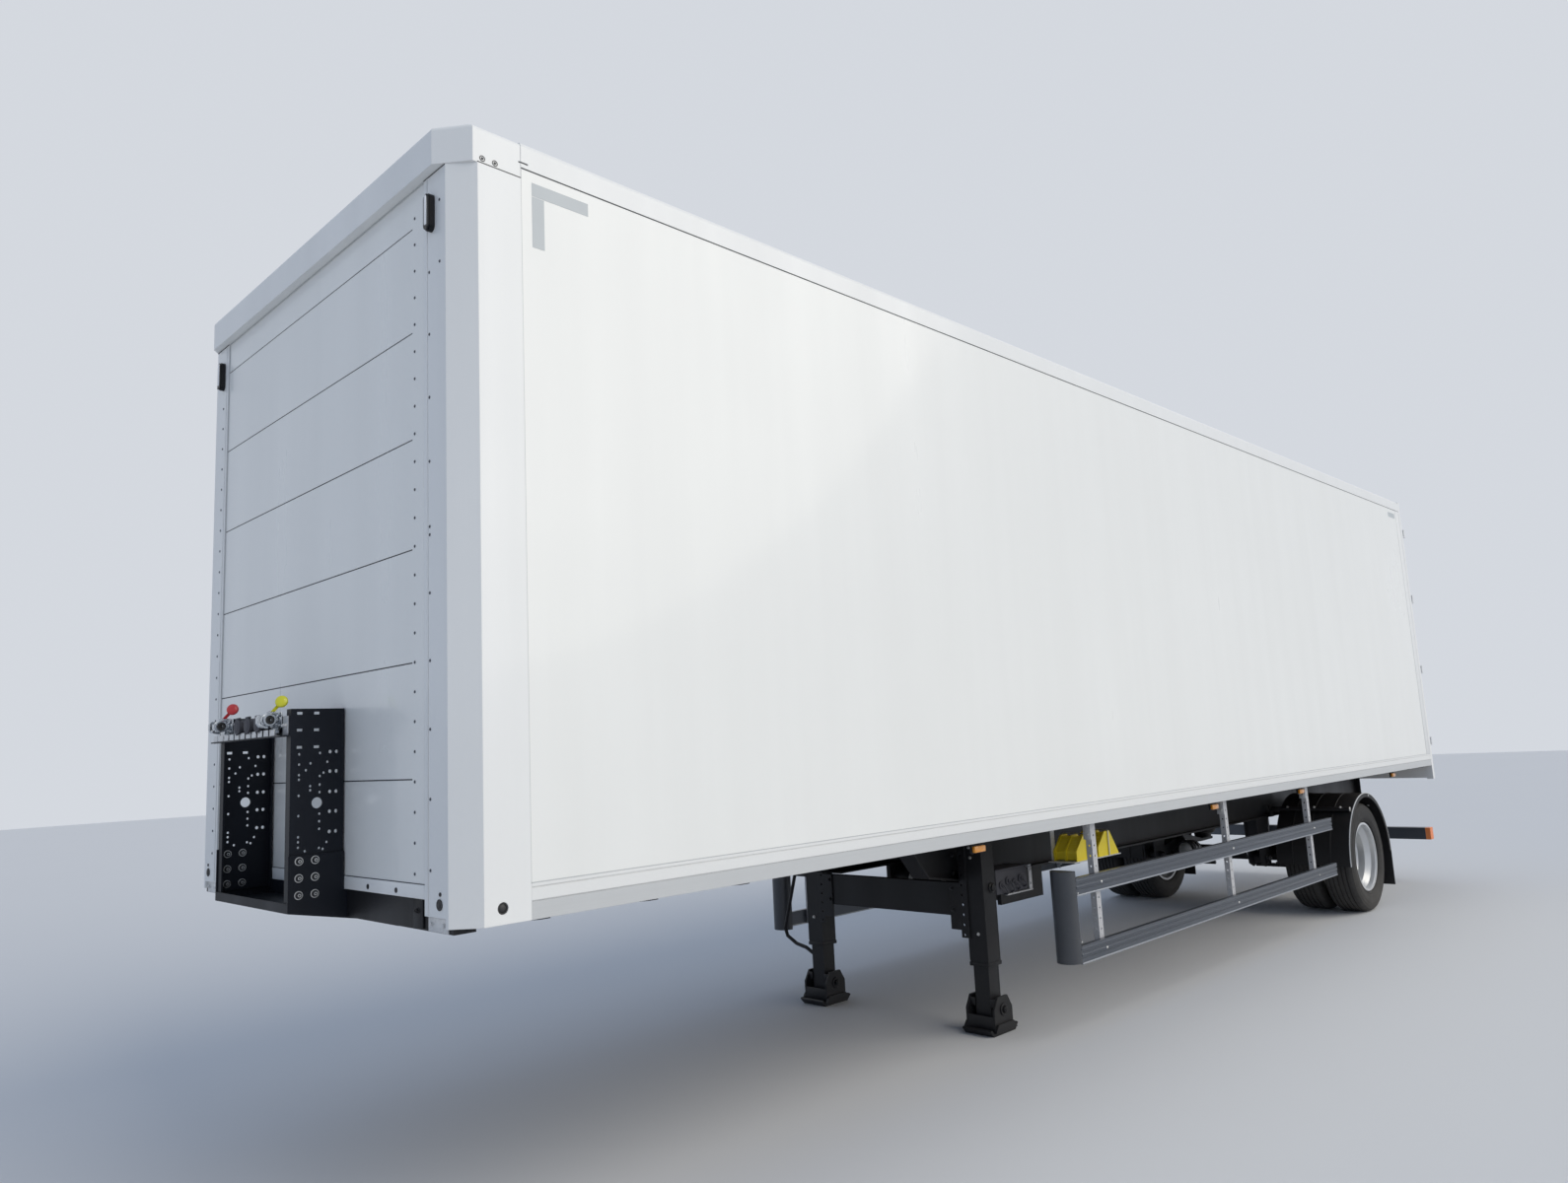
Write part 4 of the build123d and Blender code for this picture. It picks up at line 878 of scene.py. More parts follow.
@dataclass
class RearDoor(Handed):
    """One rear door: seal, bolts of the straps and guides, lock cams and handle grips."""

    kind: str = "door"
    seal: float = 0.004
    strap_levels: Row = (1.430, 2.186, 2.944, 3.663)
    rods: Row = (0.329, 0.9045)
    rod_x: float = -0.024
    rod_radius: float = 0.0135
    guide_levels: Row = (1.510, 2.566, 3.412)
    handle_level: float = 1.780
    handle_length: float = 0.260

    def at(self, back: float, across: float, level: float) -> Place:
        """Return a point, given the distance from the rear plane and from the middle."""
        return (REAR + back, self.side * across, level)

    def seals(self) -> None:
        """Build the rubber lips round the edges of the door."""
        low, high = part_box(f"rear_door_{self.end}")
        inner, outer = sorted((abs(low.y), abs(high.y)))
        lip, reach = outer + self.seal, 0.003 if self.side == LEFT else 0.0
        shape = Shape()
        # Start and end from the rear plane, from the middle and in height, and softened edge
        for start, end, near, far, foot, head, bevel in (
                (0.004, 0.032, inner, lip, low.z - self.seal, low.z, 0.001),
                (0.004, 0.032, inner, lip, high.z, high.z + self.seal, 0.001),
                (0.004, 0.032, outer, lip, low.z, high.z, 0.001),
                (0.004, 0.012, inner - reach, inner + 0.001, low.z, high.z, 0.0005),
                (0.038, 0.046, inner + 0.012, inner + 0.030, low.z, high.z, 0.002),
                (0.038, 0.046, outer - 0.030, outer - 0.012, low.z, high.z, 0.002),
                (0.038, 0.046, inner + 0.012, outer - 0.012, low.z, low.z + 0.018, 0.002),
                (0.038, 0.046, inner + 0.012, outer - 0.012, high.z - 0.018, high.z, 0.002)):
            shape.box(self.at(start, near, foot), self.at(end, far, head), bevel)
        self.fit(shape, "door_seal", SEAL_BLACK)

    def fasteners(self) -> None:
        """Build the bolts of the hinge straps and the rod guides."""
        shape = Shape()
        outer = max(abs(v.y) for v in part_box(f"rear_door_{self.end}"))
        for level in self.strap_levels:
            for inset in (0.075, 0.135, 0.205):
                shape.nut(self.at(-0.006, outer - inset, level), ASTERN, 0.009, 0.0)
        corners = [(shift, rise) for shift in (-0.021, 0.021) for rise in (-0.015, 0.015)]
        for across in self.rods:
            for level in self.guide_levels:
                for shift, rise in corners:
                    shape.rivet(self.at(-0.0405, across + shift, level + rise), ASTERN, 0.0045)
        self.fit(shape, "door_bolts", FASTENER)

    def lock_gear(self) -> None:
        """Build the cams at the ends of the lock rods and the rings at the handles."""
        shape = Shape()
        low, high = (v.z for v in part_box(f"door_fittings_{self.end}"))
        for across in self.rods:
            for start, way in ((low, 1), (high, -1)):
                shape.ring(self.at(self.rod_x, across, start), (0, 0, way), self.rod_radius,
                           0.0175, 0.004, 0.030)
                shape.box(self.at(self.rod_x + 0.002, across - 0.012, start + way * 0.006),
                          self.at(-0.002, across + 0.012, start + way * 0.028), 0.002)
            for rise in (-0.03, 0.03):
                shape.ring(self.at(self.rod_x, across, self.handle_level + rise), UP,
                           self.rod_radius, 0.019, -0.008, 0.008)
        self.fit(shape, "lock_cams", FASTENER)

    def grips(self) -> None:
        """Build the rubber grips on the handles."""
        shape = Shape()
        for across, way in zip(self.rods, (1, -1)):
            tip = across + way * self.handle_length
            shape.box(self.at(self.rod_x - 0.0085, tip, self.handle_level - 0.0185),
                      self.at(self.rod_x + 0.0045, tip - way * 0.09, self.handle_level + 0.0185),
                      0.004)
        self.fit(shape, "handle_grips", SEAL_BLACK)

    def build(self) -> None:
        """Dress the door and build its fittings."""
        dress(WHITE_SKIN, f"rear_door_{self.end}")
        dress(ZINC, f"door_fittings_{self.end}")
        for part in (self.seals, self.fasteners, self.lock_gear, self.grips):
            part()


@dataclass
class Console:
    """The connection console: bolts, air coupling heads, sockets and the shelf's tabs."""

    bolt_reaches: Row = (0.167, 0.108)
    bolt_levels: Row = (1.262, 1.323, 1.384)
    cheek: float = 0.386
    tower_inner: float = 0.370
    bolt_head: Table = ((0.0105, 0.002), (0.0105, 0.0085), (0.0092, 0.0098))
    shelf: float = FACE + 0.205
    mouth: float = 0.045
    neck: Table = ((0.022, 0.004), (0.022, 0.010), (0.0145, 0.013), (0.0145, 0.030),
                   (0.0175, 0.034), (0.0175, 0.040))
    face: Table = ((0.012, -0.024), (0.019, -0.022), (0.0205, -0.012), (0.0205, 0.006),
                   (0.0235, 0.010), (0.0235, 0.024), (0.0215, 0.026), (0.0168, 0.026),
                   (0.0155, 0.022), (0.0155, 0.006), (0, 0.006))
    hook: Table = ((0.055, 0.0215), (0.079, 0.019), (0.085, 0.010), (0.085, -0.012),
                   (0.075, -0.026), (0.047, -0.031), (0.046, -0.0235), (0.070, -0.019),
                   (0.0755, -0.010), (0.0755, 0.008), (0.061, 0.0135))
    cover: Table = ((0, -0.0095), (0.010, -0.009), (0.018, -0.007), (0.0225, -0.003),
                    (0.0235, 0.002), (0.0215, 0.008), (0.016, 0.012), (0.008, 0.0142),
                    (0, 0.0148))
    cover_arm: Table = ((0.006, -0.003, -0.004), (0.003, 0.003, 0.006), (-0.008, -0.003, -0.002))
    socket: Table = ((0.033, 0), (0.033, 0.005), (0.0275, 0.007), (0.0275, 0.028),
                     (0.030, 0.031), (0.030, 0.036), (0.024, 0.037), (0.022, 0.020), (0, 0.020))
    lid: Table = ((0, 0), (0.0315, 0), (0.032, 0.002), (0.030, 0.005), (0.021, 0.006),
                  (0.019, 0.008), (0, 0.0084))
    level: float = 1.908
    supply: float = -0.245
    control: float = 0.283
    sockets: Row = (-0.055, 0.055, 0.160)
    socket_level: float = 1.898

    def tower_bolts(self) -> None:
        """Build the flanged bolts through the feet of the towers, with rings of painted glint."""
        bolts, rings = Shape(), Shape()
        for reach in self.bolt_reaches:
            for level in self.bolt_levels:
                for face, way in ((self.cheek, OUT), (self.tower_inner, IN)):
                    bolts.to(FACE + reach, face, level)
                    rings.to(FACE + reach, face, level)
                    # Thin bright rings round the flange and on the head: painted glints on the
                    # black bolts.
                    rings.ring(HERE, way, 0.0125, 0.0155, 0, 0.0028, 28)
                    rings.ring(HERE, way, 0.0035, 0.0062, 0.0090, 0.0108, 18)
                    bolts.rod(HERE, Vector(way) * 0.0022, 0.0130)
                    bolts.lathe(HERE, way, self.bolt_head, 6)
        bolts.pair("tower_bolts", BLACK_FASTENER)
        rings.pair("tower_bolt_glint_rings", FASTENER)

    def head(self, metal: Shape, rubber: Shape) -> None:
        """Add one air coupling head, whose round seal face looks to the left.

        Args:
            metal: Shape that takes the castings, with its origin on the shelf's front.
            rubber: Shape that takes the seal, with the same origin.
        """
        mouth = self.mouth
        metal.box((0, -0.026, -0.030), (0.005, 0.026, 0.030), 0.002)
        metal.lathe(HERE, AHEAD, self.neck, 32)
        metal.lathe((mouth, 0, 0), OUT, self.face, 44)
        rubber.ring((mouth, 0, 0), OUT, 0.0085, 0.0152, 0.012, 0.0215, 36)
        rubber.rod((mouth, 0.0062, 0), (mouth, 0.010, 0), 0.0150, 28)
        metal.prism([(x, -0.010, z) for x, z in self.hook], (0, 0.020, 0))
        metal.rod((0.073, 0.004, -0.021), (0.073, 0.021, -0.021), 0.006, 16)
        for across in (0.019, -0.019):
            for rise in (-0.022, 0.022):
                metal.nut((0.005, across, rise), AHEAD, 0.006, 0.4)
        metal.box((mouth - 0.020, -0.008, 0.016), (mouth + 0.002, 0.016, 0.030), 0.003)
        metal.rod((mouth - 0.024, 0.010, 0.026), (mouth + 0.006, 0.010, 0.026), 0.0055, 16)
        for turn in (-0.021, -0.013, -0.005):
            metal.ring((mouth + turn, 0.010, 0.026), AHEAD, 0.0055, 0.0085, 0, 0.0045, 16)
        metal.rod((0.014, 0, -0.046), (0.014, 0, -0.012), 0.011, 6)
        metal.rod((0.014, 0, -0.050), (0.014, 0, -0.038), 0.0145, 6)

    def flap(self, name: str, across: float, finish: Finish) -> None:
        """Build the coloured cover of one air coupling head, swung open.

        Args:
            name: Name of the piece.
            across: Distance of the head from the middle of the vehicle.
            finish: Its colour.
        """
        shape = Shape(self.shelf, across, self.level)
        hinge = Vector((self.mouth - 0.010, 0.012, 0.028))
        centre = Vector((0.004, 0.026, 0.068))
        shape.lathe(centre, (0.62, 0.74, 0.26), self.cover, 36)
        shape.prism([hinge + Vector(corner) for corner in self.cover_arm], (centre - hinge) * 0.62)
        shape.piece(name, finish)

    def couplings(self) -> None:
        """Build both air coupling heads with their seals and covers."""
        metal, rubber = Shape(), Shape()
        for across in (self.supply, self.control):
            for shape in (metal, rubber):
                shape.to(self.shelf, across, self.level)
            self.head(metal, rubber)
        metal.piece("air_coupling_heads", CAST_METAL, "air_couplings")
        rubber.piece("air_coupling_seals", SEAL_BLACK)
        self.flap("supply_cover", self.supply, CAP_RED)
        self.flap("control_cover", self.control, CAP_YELLOW)

    def plugs(self) -> None:
        """Build the electric sockets with their sprung lids."""
        shape = Shape()
        for across in self.sockets:
            shape.to(self.shelf, across, self.socket_level)
            shape.lathe(HERE, AHEAD, self.socket, 36)
            for side, rise in circle(0.028, 3, 30):
                shape.box((0.006, side - 0.003, rise - 0.003), (0.030, side + 0.003, rise + 0.003),
                          0.001)
            shape.lathe((0.038, 0, 0), AHEAD, self.lid, 36)
            shape.box((0.030, -0.014, 0.027), (0.044, 0.014, 0.034), 0.002)
            shape.rod((0.035, -0.018, 0.032), (0.035, 0.018, 0.032), 0.004)
            shape.box((0.039, -0.008, -0.034), (0.043, 0.008, -0.029), 0.001)
        shape.piece("socket_bodies", SOCKET_BLACK, "electric_sockets")

    def facing(self) -> None:
        """Build the zinc facing of the shelf, its turned-up tabs and the hose glands."""
        shape, glands = Shape(self.shelf), Shape(self.shelf, 0, 1.885)
        for start, end in ((-0.368, -0.275), (-0.214, -0.092), (-0.018, 0.018), (0.197, 0.252),
                           (0.314, 0.368)):
            shape.box((0, start, 1.849), (0.0012, end, 1.9195), 0.0003)
        for across in steps(-0.345, 0.335, 0.062):
            shape.box((0.032, across, 1.848), (0.0345, across + 0.046, 1.872), 0.0006)
            shape.box((0.001, across, 1.848), (0.034, across + 0.046, 1.8495), 0.0004)
        for across in (0.220, 0.330, 0.352):
            shape.nut((0, across, 1.885), AHEAD, 0.008, 0.4)
        shape.piece("console_shelf_trim", ZINC)
        for across in (self.supply, self.control) + self.sockets:
            glands.rod((-0.022, across, 0), (-0.005, across, 0), 0.017)
            glands.rod((-0.060, across, 0), (-0.022, across, 0), 0.012)
        glands.piece("hose_glands", FASTENER)

    def build(self) -> None:
        """Dress the console and build its fittings."""
        dress(CONSOLE_BLACK, "connection_towers", "console_tray")
        for part in (self.tower_bolts, self.couplings, self.plugs, self.facing):
            part()


@dataclass
class LandingGear:
    """The landing legs: nuts, weld seams, collars and foot webs."""

    plate_nuts: Table = ((0.520, 1.140), (0.520, 1.010), (0.520, 0.905), (0.592, 1.150),
                         (0.592, 1.080), (0.502, 0.690), (0.502, 0.815))
    bright_bolts: Table = ((0.640, 1.060), (0.645, 1.000), (0.668, 0.560))
    half: float = 0.0635
    offset: float = 0.660
    split: float = 0.375
    foot_level: float = 0.135

    def nuts(self) -> None:
        """Build the nuts on the leg plates and the bolts in the legs."""
        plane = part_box("landing_legs")[1].x
        shape, bright = Shape(plane), Shape(plane)
        for across, level in self.plate_nuts:
            shape.nut((0, across, level), AHEAD, 0.010)
        for across, level in self.bright_bolts:
            bright.nut((-0.010, across, level), AHEAD, 0.008, 0.0)
        shape.pair("leg_plate_nuts", BLACK_FASTENER)
        bright.pair("leg_bolts", FASTENER)

    def collars(self) -> None:
        """Build the collars and weld seams of the tubes and the sockets of the crank."""
        half, edge = self.half, self.half + 0.004
        shape = Shape(middle("landing_feet"), self.offset, self.split)
        for left, near, right, far in ((-edge, -edge, edge, -half), (-edge, half, edge, edge),
                                       (-edge, -half, -half, half), (half, -half, edge, half)):
            shape.box((left, near, 0), (right, far, 0.022))
        for across in (-half, half):
            shape.rod((half - 0.001, across, 0.03), (half - 0.001, across, 0.84 - self.split),
                      0.003, 10, 0.0)
        shape.lathe((-0.020, half, 0.820 - self.split), OUT, [(0.030, 0), (0.030, 0.006),
                    (0.022, 0.010), (0.022, 0.020), (0.016, 0.022)], 32)
        shape.pair("leg_collars", CHASSIS_BLACK)

    def feet(self) -> None:
        """Build the pins, webs and pad ribs of the feet."""
        shape = Shape(middle("landing_feet"))
        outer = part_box("landing_feet")[1].y
        inner, leg = 2 * self.offset - outer, self.offset
        for plane, way in ((outer, OUT), (inner, IN)):
            shape.ring((0, plane, self.foot_level), way, 0.022, 0.034, 0, 0.008)
            shape.nut((0, plane, self.foot_level), way, 0.019, 0.3)
        for shift in (-0.092, 0.086):
            shape.box((shift, inner + 0.014, 0.018), (shift + 0.006, outer - 0.014, 0.105), 0.002)
        for shift in (-0.062, 0.056):
            for near, far in ((inner + 0.014, leg - 0.053), (leg + 0.053, outer - 0.014)):
                shape.box((shift, near, 0.150), (shift + 0.006, far, 0.195), 0.002)
        for across in (inner - 0.016, outer):
            shape.prism([(-0.110, across, 0.020), (0.110, across, 0.020), (0.078, across, 0.062),
                         (-0.078, across, 0.062)], (0, 0.016, 0))
        shape.pair("foot_webs", CHASSIS_BLACK)

    def build(self) -> None:
        """Dress the landing gear and build its fittings."""
        dress(CHASSIS_BLACK, "landing_legs", "landing_feet", "leg_brace", "leg_crank")
        for part in (self.nuts, self.collars, self.feet):
            part()


@dataclass
class SideGuards:
    """The side guards: lips along the rails, bolts, end plugs, nose edges and post feet."""

    rails: Table = ((0.785, 0.885), (0.410, 0.510))
    post_backs: Row = (4.150, 6.050, 7.670)
    outer: float = 1.225
    thick: float = 0.030
    nose_radius: float = 0.075
    nose_back: float = 3.850
    nose_levels: Row = (0.415, 0.925)

    def lips(self) -> None:
        """Build the rails' rounded lips, middle ribs and end plugs; the lower lips carry painted
        highlight.
        """
        shape, lower, plugs = Shape(0, self.outer), Shape(0, self.outer), Shape(0, self.outer)
        rear, front = (v.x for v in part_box("guard_rails"))
        for foot, head in self.rails:
            for level, radius in ((head - 0.004, 0.004), (foot + 0.082, 0.010)):
                shape.rod((rear, 0.003 - radius, level), (front, 0.003 - radius, level), radius,
                          16, 0.0)
            rib = foot + 0.48 * (head - foot)
            shape.box((rear, -0.001, rib - 0.006), (front, 0.0025, rib + 0.006), 0.0015)
            # The lower lip in a paler grey: painted highlight along the rail's edge.
            lower.box((rear, -self.thick - 0.0015, foot - 0.0015), (front, 0.003, foot + 0.0075),
                      0.0015)
            plugs.box((rear - 0.004, -self.thick, foot), (rear, 0, head), 0.003)
        shape.pair("guard_rail_ribs", GUARD_GREY)
        lower.pair("guard_rail_highlight_lips", LIP_HIGHLIGHT_GREY)
        plugs.pair("guard_rail_plugs", GUARD_PLASTIC)

    def bolts(self) -> None:
        """Build the bolts that hold the rails to the posts and the posts to the chassis."""
        shape = Shape()
        for back in self.post_backs:
            shape.to(FACE - back, self.outer, 0)
            for foot, head in self.rails:
                for share in (0.40, 0.56):
                    level = foot + share * (head - foot)
                    shape.nut((0.012, -self.thick - 0.038, level), IN, 0.008)
                shape.rivet((0.008, 0.002, foot + 0.48 * (head - foot)), OUT, 0.0085)
            for level in (1.155, 1.105):
                shape.nut((0.0255, -self.thick - 0.019, level), AHEAD, 0.009)
        shape.to(FACE - self.nose_back, self.outer, 0)
        for level in (0.46, 0.53, 0.80, 0.88):
            shape.rivet((-0.020, -0.001, level), OUT, 0.005)
        shape.pair("guard_bolts", FASTENER)

    def noses(self) -> None:
        """Build the rolled edges and end caps of the nose tubes."""
        radius = self.nose_radius
        shape = Shape(FACE - self.nose_back, self.outer - radius)
        low, high = self.nose_levels
        front = circle(radius - 0.001, 36, -90)[:19]
        for level, way in ((low, 1), (high, -1)):
            shape.prism([(x, y, level + way * 0.001) for x, y in front], (0, 0, way * 0.006))
        for edge in (0.004 - radius, radius - 0.004):
            shape.rod((-0.003, edge, low), (-0.003, edge, high), 0.0042, 12)
        shape.pair("guard_nose_edges", NOSE_GREY)

    def feet(self) -> None:
        """Build the angle brackets at the tops of the posts."""
        shape = Shape()
        for back in self.post_backs:
            shape.to(FACE - back, self.outer - self.thick, 0)
            shape.box((-0.055, -0.060, 1.172), (0.055, 0.004, 1.1795))
            shape.box((0.025, -0.050, 1.075), (0.031, 0, 1.178))
        shape.pair("guard_post_brackets", ZINC)

    def build(self) -> None:
        """Dress the side guards and build their fittings."""
        dress(GUARD_GREY, "guard_rails")
        dress(NOSE_GREY, "guard_noses")
        dress(POST_ZINC, "guard_posts")
        for part in (self.lips, self.bolts, self.noses, self.feet):
            part()


@dataclass
class Underframe:
    """The chassis: air pipes, bolts, kingpin flange, valve box and reservoir straps."""

    beam: float = 0.500
    beam_edge: float = 0.560
    beam_bottom: float = 0.850
    pipe_levels: Row = (1.030, 1.048, 1.066)
    box_back: float = 3.82
    box_levels: Row = (0.762, 0.902)

    def pipes(self) -> None:
        """Build the air pipes along the beams and their clips."""
        shape, clips = Shape(0, self.beam), Shape(0, self.beam)
        for level in self.pipe_levels:
            shape.pipe([(FACE - 0.45, -0.013, 1.115), (FACE - 3.4, -0.013, 1.115),
                        (FACE - 3.75, -0.013, level), (REAR + 0.35, -0.013, level)], 0.006, 0.12)
        shape.pair("air_pipes", SEAL_BLACK)
        for back in steps(4.2, 10.6, 0.8):
            clips.box((FACE - back, -0.022, 1.015), (FACE - back + 0.02, -0.004, 1.082), 0.002)
        clips.pair("pipe_clips", ZINC)

    def bolts(self) -> None:
        """Build the rivets of the king plate and the bolts of the spring hangers."""
        shape = Shape()
        low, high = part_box("king_plate")
        for back in steps(low.x + 0.1, high.x - 0.3, 0.3):
            for across in (0.58, 0.61):
                shape.rivet((back, across, low.z), DOWN, 0.012)
        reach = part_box("spring_hangers")[1].y - self.beam
        shape.to(middle("spring_hangers"), self.beam, self.beam_bottom)
        for way, plane in ((OUT, reach), (IN, -reach)):
            shape.nut((0, plane, 0.500 - self.beam_bottom), way, 0.026, 0.4)
        for shift in (-0.07, 0.07):
            for edge in (-0.045, 0.045):
                shape.nut((shift, edge, 0), DOWN, 0.011, 0.4)
        shape.pair("underframe_bolts", BLACK_FASTENER)

    def king_rim(self) -> None:
        """Build the bolted flange about the kingpin."""
        shape = Shape(middle("kingpin"), 0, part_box("kingpin")[1].z)
        shape.ring(HERE, DOWN, 0.037, 0.095, 0, 0.006, 48)
        for x, y in circle(0.072, 8, 22):
            shape.nut((x, y, -0.006), DOWN, 0.010, 0.0)
        shape.piece("kingpin_flange", KING_STEEL)

    def valve_box(self) -> None:
        """Build the air valve box behind the left leg, with its hoses, buttons and bracket."""
        front, edge, (low, high) = FACE - self.box_back, self.beam_edge, self.box_levels
        shape, plate = Shape(front), Shape(front)
        shape.box((-0.34, edge, low), (0, 0.706, high), 0.008)
        shape.box((-0.35, edge, high), (0.01, 0.712, high + 0.008), 0.002)
        for index, shift in enumerate((0.05, 0.12, 0.19, 0.26)):
            shape.to(front - shift, 0.706, low + 0.055 + 0.018 * (index % 2))
            foot = low - shape.origin.z
            shape.ring(HERE, OUT, 0.006, 0.024, 0, 0.010)
            shape.rod(HERE, (0, 0.018, 0), 0.011)
            shape.pipe([(0, -0.006, 0), (0, 0.026, 0), (-0.045, 0.026, foot - 0.004 + 0.01 * index),
                        (-0.045, -0.046, foot + 0.002)], 0.0055, 0.03)
        shape.piece("valve_box", SOCKET_BLACK)
        plate.box((-0.386, 0.708, low - 0.008), (-0.352, 0.713, high + 0.004), 0.001)
        plate.box((-0.386, edge, high - 0.012), (-0.352, 0.713, high - 0.006), 0.001)
        plate.box((-0.386, 0.700, low - 0.012), (-0.100, 0.716, low - 0.004), 0.001)
        for rise in (0.030, 0.110):
            plate.nut((-0.369, 0.713, low + rise), OUT, 0.007, 0.0)
        plate.piece("valve_box_bracket", POST_ZINC)

    def reservoir_ends(self) -> None:
        """Build the straps and drain valves of the air reservoirs."""
        shape = Shape()
        for back in (4.340, 4.580):
            shape.to(FACE - back, 0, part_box("air_reservoirs")[1].z - 0.106)
            for across in (-0.30, -0.02, 0.26):
                shape.ring((0, across, 0), OUT, 0.100, 0.1025, 0, 0.035, 48)
            shape.rod((0, 0.1, -0.118), (0, 0.1, -0.099), 0.010)
            shape.ring((0, 0.1, -0.122), DOWN, 0.008, 0.011, -0.003, 0.0, 16)
        shape.piece("reservoir_straps", FASTENER)

    def build(self) -> None:
        """Dress the underframe and build its fittings."""
        dress(CHASSIS_BLACK, "chassis_beams", "cross_members", "king_plate", "air_reservoirs",
              "spring_hangers", "trailing_arms", "axle_beam", "brake_chambers")
        dress(KING_STEEL, "kingpin")
        dress(ZINC, "frame_fittings")
        for part in (self.pipes, self.bolts, self.king_rim, self.valve_box, self.reservoir_ends):
            part()


@dataclass
class Suspension:
    """The axle's air springs, dampers, clamps and brake gear."""

    beam: float = 0.500
    beam_bottom: float = 0.850
    axle: float = 0.475
    bellows: Table = ((0.083, 0.052), (0.098, 0.044), (0.114, 0.050), (0.126, 0.066),
                      (0.130, 0.090), (0.130, 0.155), (0.1275, 0.175), (0.130, 0.182),
                      (0.1275, 0.190), (0.128, 0.225), (0.122, 0.248), (0.108, 0.262),
                      (0.090, 0.268))
    piston: Table = ((0.070, 0), (0.082, 0.006), (0.085, 0.058), (0.060, 0.064))
    top_plate: Table = ((0.092, 0.262), (0.110, 0.268), (0.110, 0.288), (0.080, 0.290))
    damper_tube: Table = ((0.012, 0.012), (0.030, 0.020), (0.032, 0.030), (0.032, 0.190),
                          (0.028, 0.198), (0.010, 0.200))

    def springs(self) -> None:
        """Build the bellows of the air springs and their pistons."""
        low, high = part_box("air_springs")
        seat = (middle("air_springs"), self.beam, low.z)
        bellows, plates = Shape(*seat), Shape(*seat)
        bellows.lathe(HERE, UP, self.bellows, 48)
        plates.lathe(HERE, UP, self.piston, 40)
        plates.lathe(HERE, UP, self.top_plate, 40)
        for across in (0.045, -0.045):
            plates.nut((0.05, across, high.z - 0.002 - low.z), DOWN, 0.010, 0.0)
        bellows.pair("spring_bellows", BELLOWS_BLACK, "air_springs")
        plates.pair("spring_pistons", CHASSIS_BLACK)

    def dampers(self) -> None:
        """Build the dampers between the arms and the beams."""
        foot = (middle("tyres_left") + 0.115, self.beam - 0.075, self.axle + 0.10)
        shape, bright = Shape(*foot), Shape(*foot)
        head = Vector((0.215, 0, self.beam_bottom - 0.028 - foot[2]))
        length = head.length
        shape.lathe(HERE, head, self.damper_tube, 28)
        shape.lathe(HERE, head, [(0.037, 0.120), (0.037, length - 0.035), (0.030, length - 0.028),
                    (0.010, length - 0.026)], 28)
        for point in (Vector(), head):
            shape.ring(point, OUT, 0.011, 0.026, -0.022, 0.022)
            bright.rod(point + Vector((0, -0.030, 0)), point + Vector((0, 0.078, 0)), 0.011)
            bright.nut(point + Vector((0, -0.024, 0)), IN, 0.016, 0.4)
        shape.box(head + Vector((-0.03, 0.024, -0.02)), head + Vector((0.03, 0.034, 0.030)))
        shape.pair("dampers", CHASSIS_BLACK)
        bright.pair("damper_bolts", FASTENER)

    def clamps(self) -> None:
        """Build the U bolts that clamp the axle to the arms."""
        shape = Shape(middle("tyres_left"), self.beam, self.axle)
        for shift in (-0.078, 0.078):
            for across in (-0.032, 0.032):
                shape.rod((shift, across, -0.098), (shift, across, 0.168), 0.009)
                shape.nut((shift, across, -0.082), DOWN, 0.014)
            shape.rod((shift, -0.032, 0.160), (shift, 0.032, 0.160), 0.009)
        shape.box((-0.100, -0.050, -0.082), (0.100, 0.050, -0.066), 0.003)
        shape.box((-0.095, -0.045, 0.139), (0.095, 0.045, 0.152), 0.003)
        shape.pair("axle_clamps", CHASSIS_BLACK)

    def brakes(self) -> None:
        """Build the clamp bands, push rods and slack adjusters of the brake chambers."""
        seat = (middle("tyres_left") + 0.105, 0.330, self.axle + 0.02)
        bands, rods = Shape(*seat), Shape(*seat)
        way = Vector((1, 0, 0.12)).normalized()
        for low, high, outer in ((0.050, 0.064, 0.095), (0.118, 0.130, 0.093)):
            bands.ring(HERE, way, 0.086, outer, low, high, 40)
        bands.lathe(HERE, way, [(0.070, 0.188), (0.060, 0.196), (0.030, 0.199)], 32)
        for y, z in circle(1.0, 2, 60):
            side = Vector((0, y, z))
            bands.nut(way * 0.057 + side * 0.094, side, 0.008, 0.3)
        bands.pair("brake_bands", FASTENER)
        rods.rod((-0.02, 0, 0), (-0.165, 0, 0.008), 0.008)
        rods.box((-0.190, -0.012, -0.150), (-0.155, 0.012, 0.022), 0.006)
        rods.rod((-0.172, -0.130, -0.135), (-0.172, 0.255, -0.135), 0.018)
        rods.pair("brake_camshafts", CHASSIS_BLACK)

    def levelling(self) -> None:
        """Build the ride height valve and its link to the axle."""
        shape = Shape(middle("tyres_left") - 0.02)
        shape.box((0.05, 0.360, 0.870), (0.13, 0.420, 0.945), 0.006)
        shape.box((0.04, 0.350, 0.945), (0.14, 0.440, 0.953), 0.002)
        shape.pipe([(0.09, 0.352, 0.905), (-0.06, 0.352, 0.885), (-0.06, 0.352, 0.545)],
                   0.006, 0.02)
        shape.box((-0.090, 0.335, 0.530), (-0.030, 0.370, 0.548), 0.002)
        shape.piece("ride_height_valve", FASTENER)

    def build(self) -> None:
        """Build the springs, dampers, clamps and brake gear."""
        for part in (self.springs, self.dampers, self.clamps, self.brakes, self.levelling):
            part()


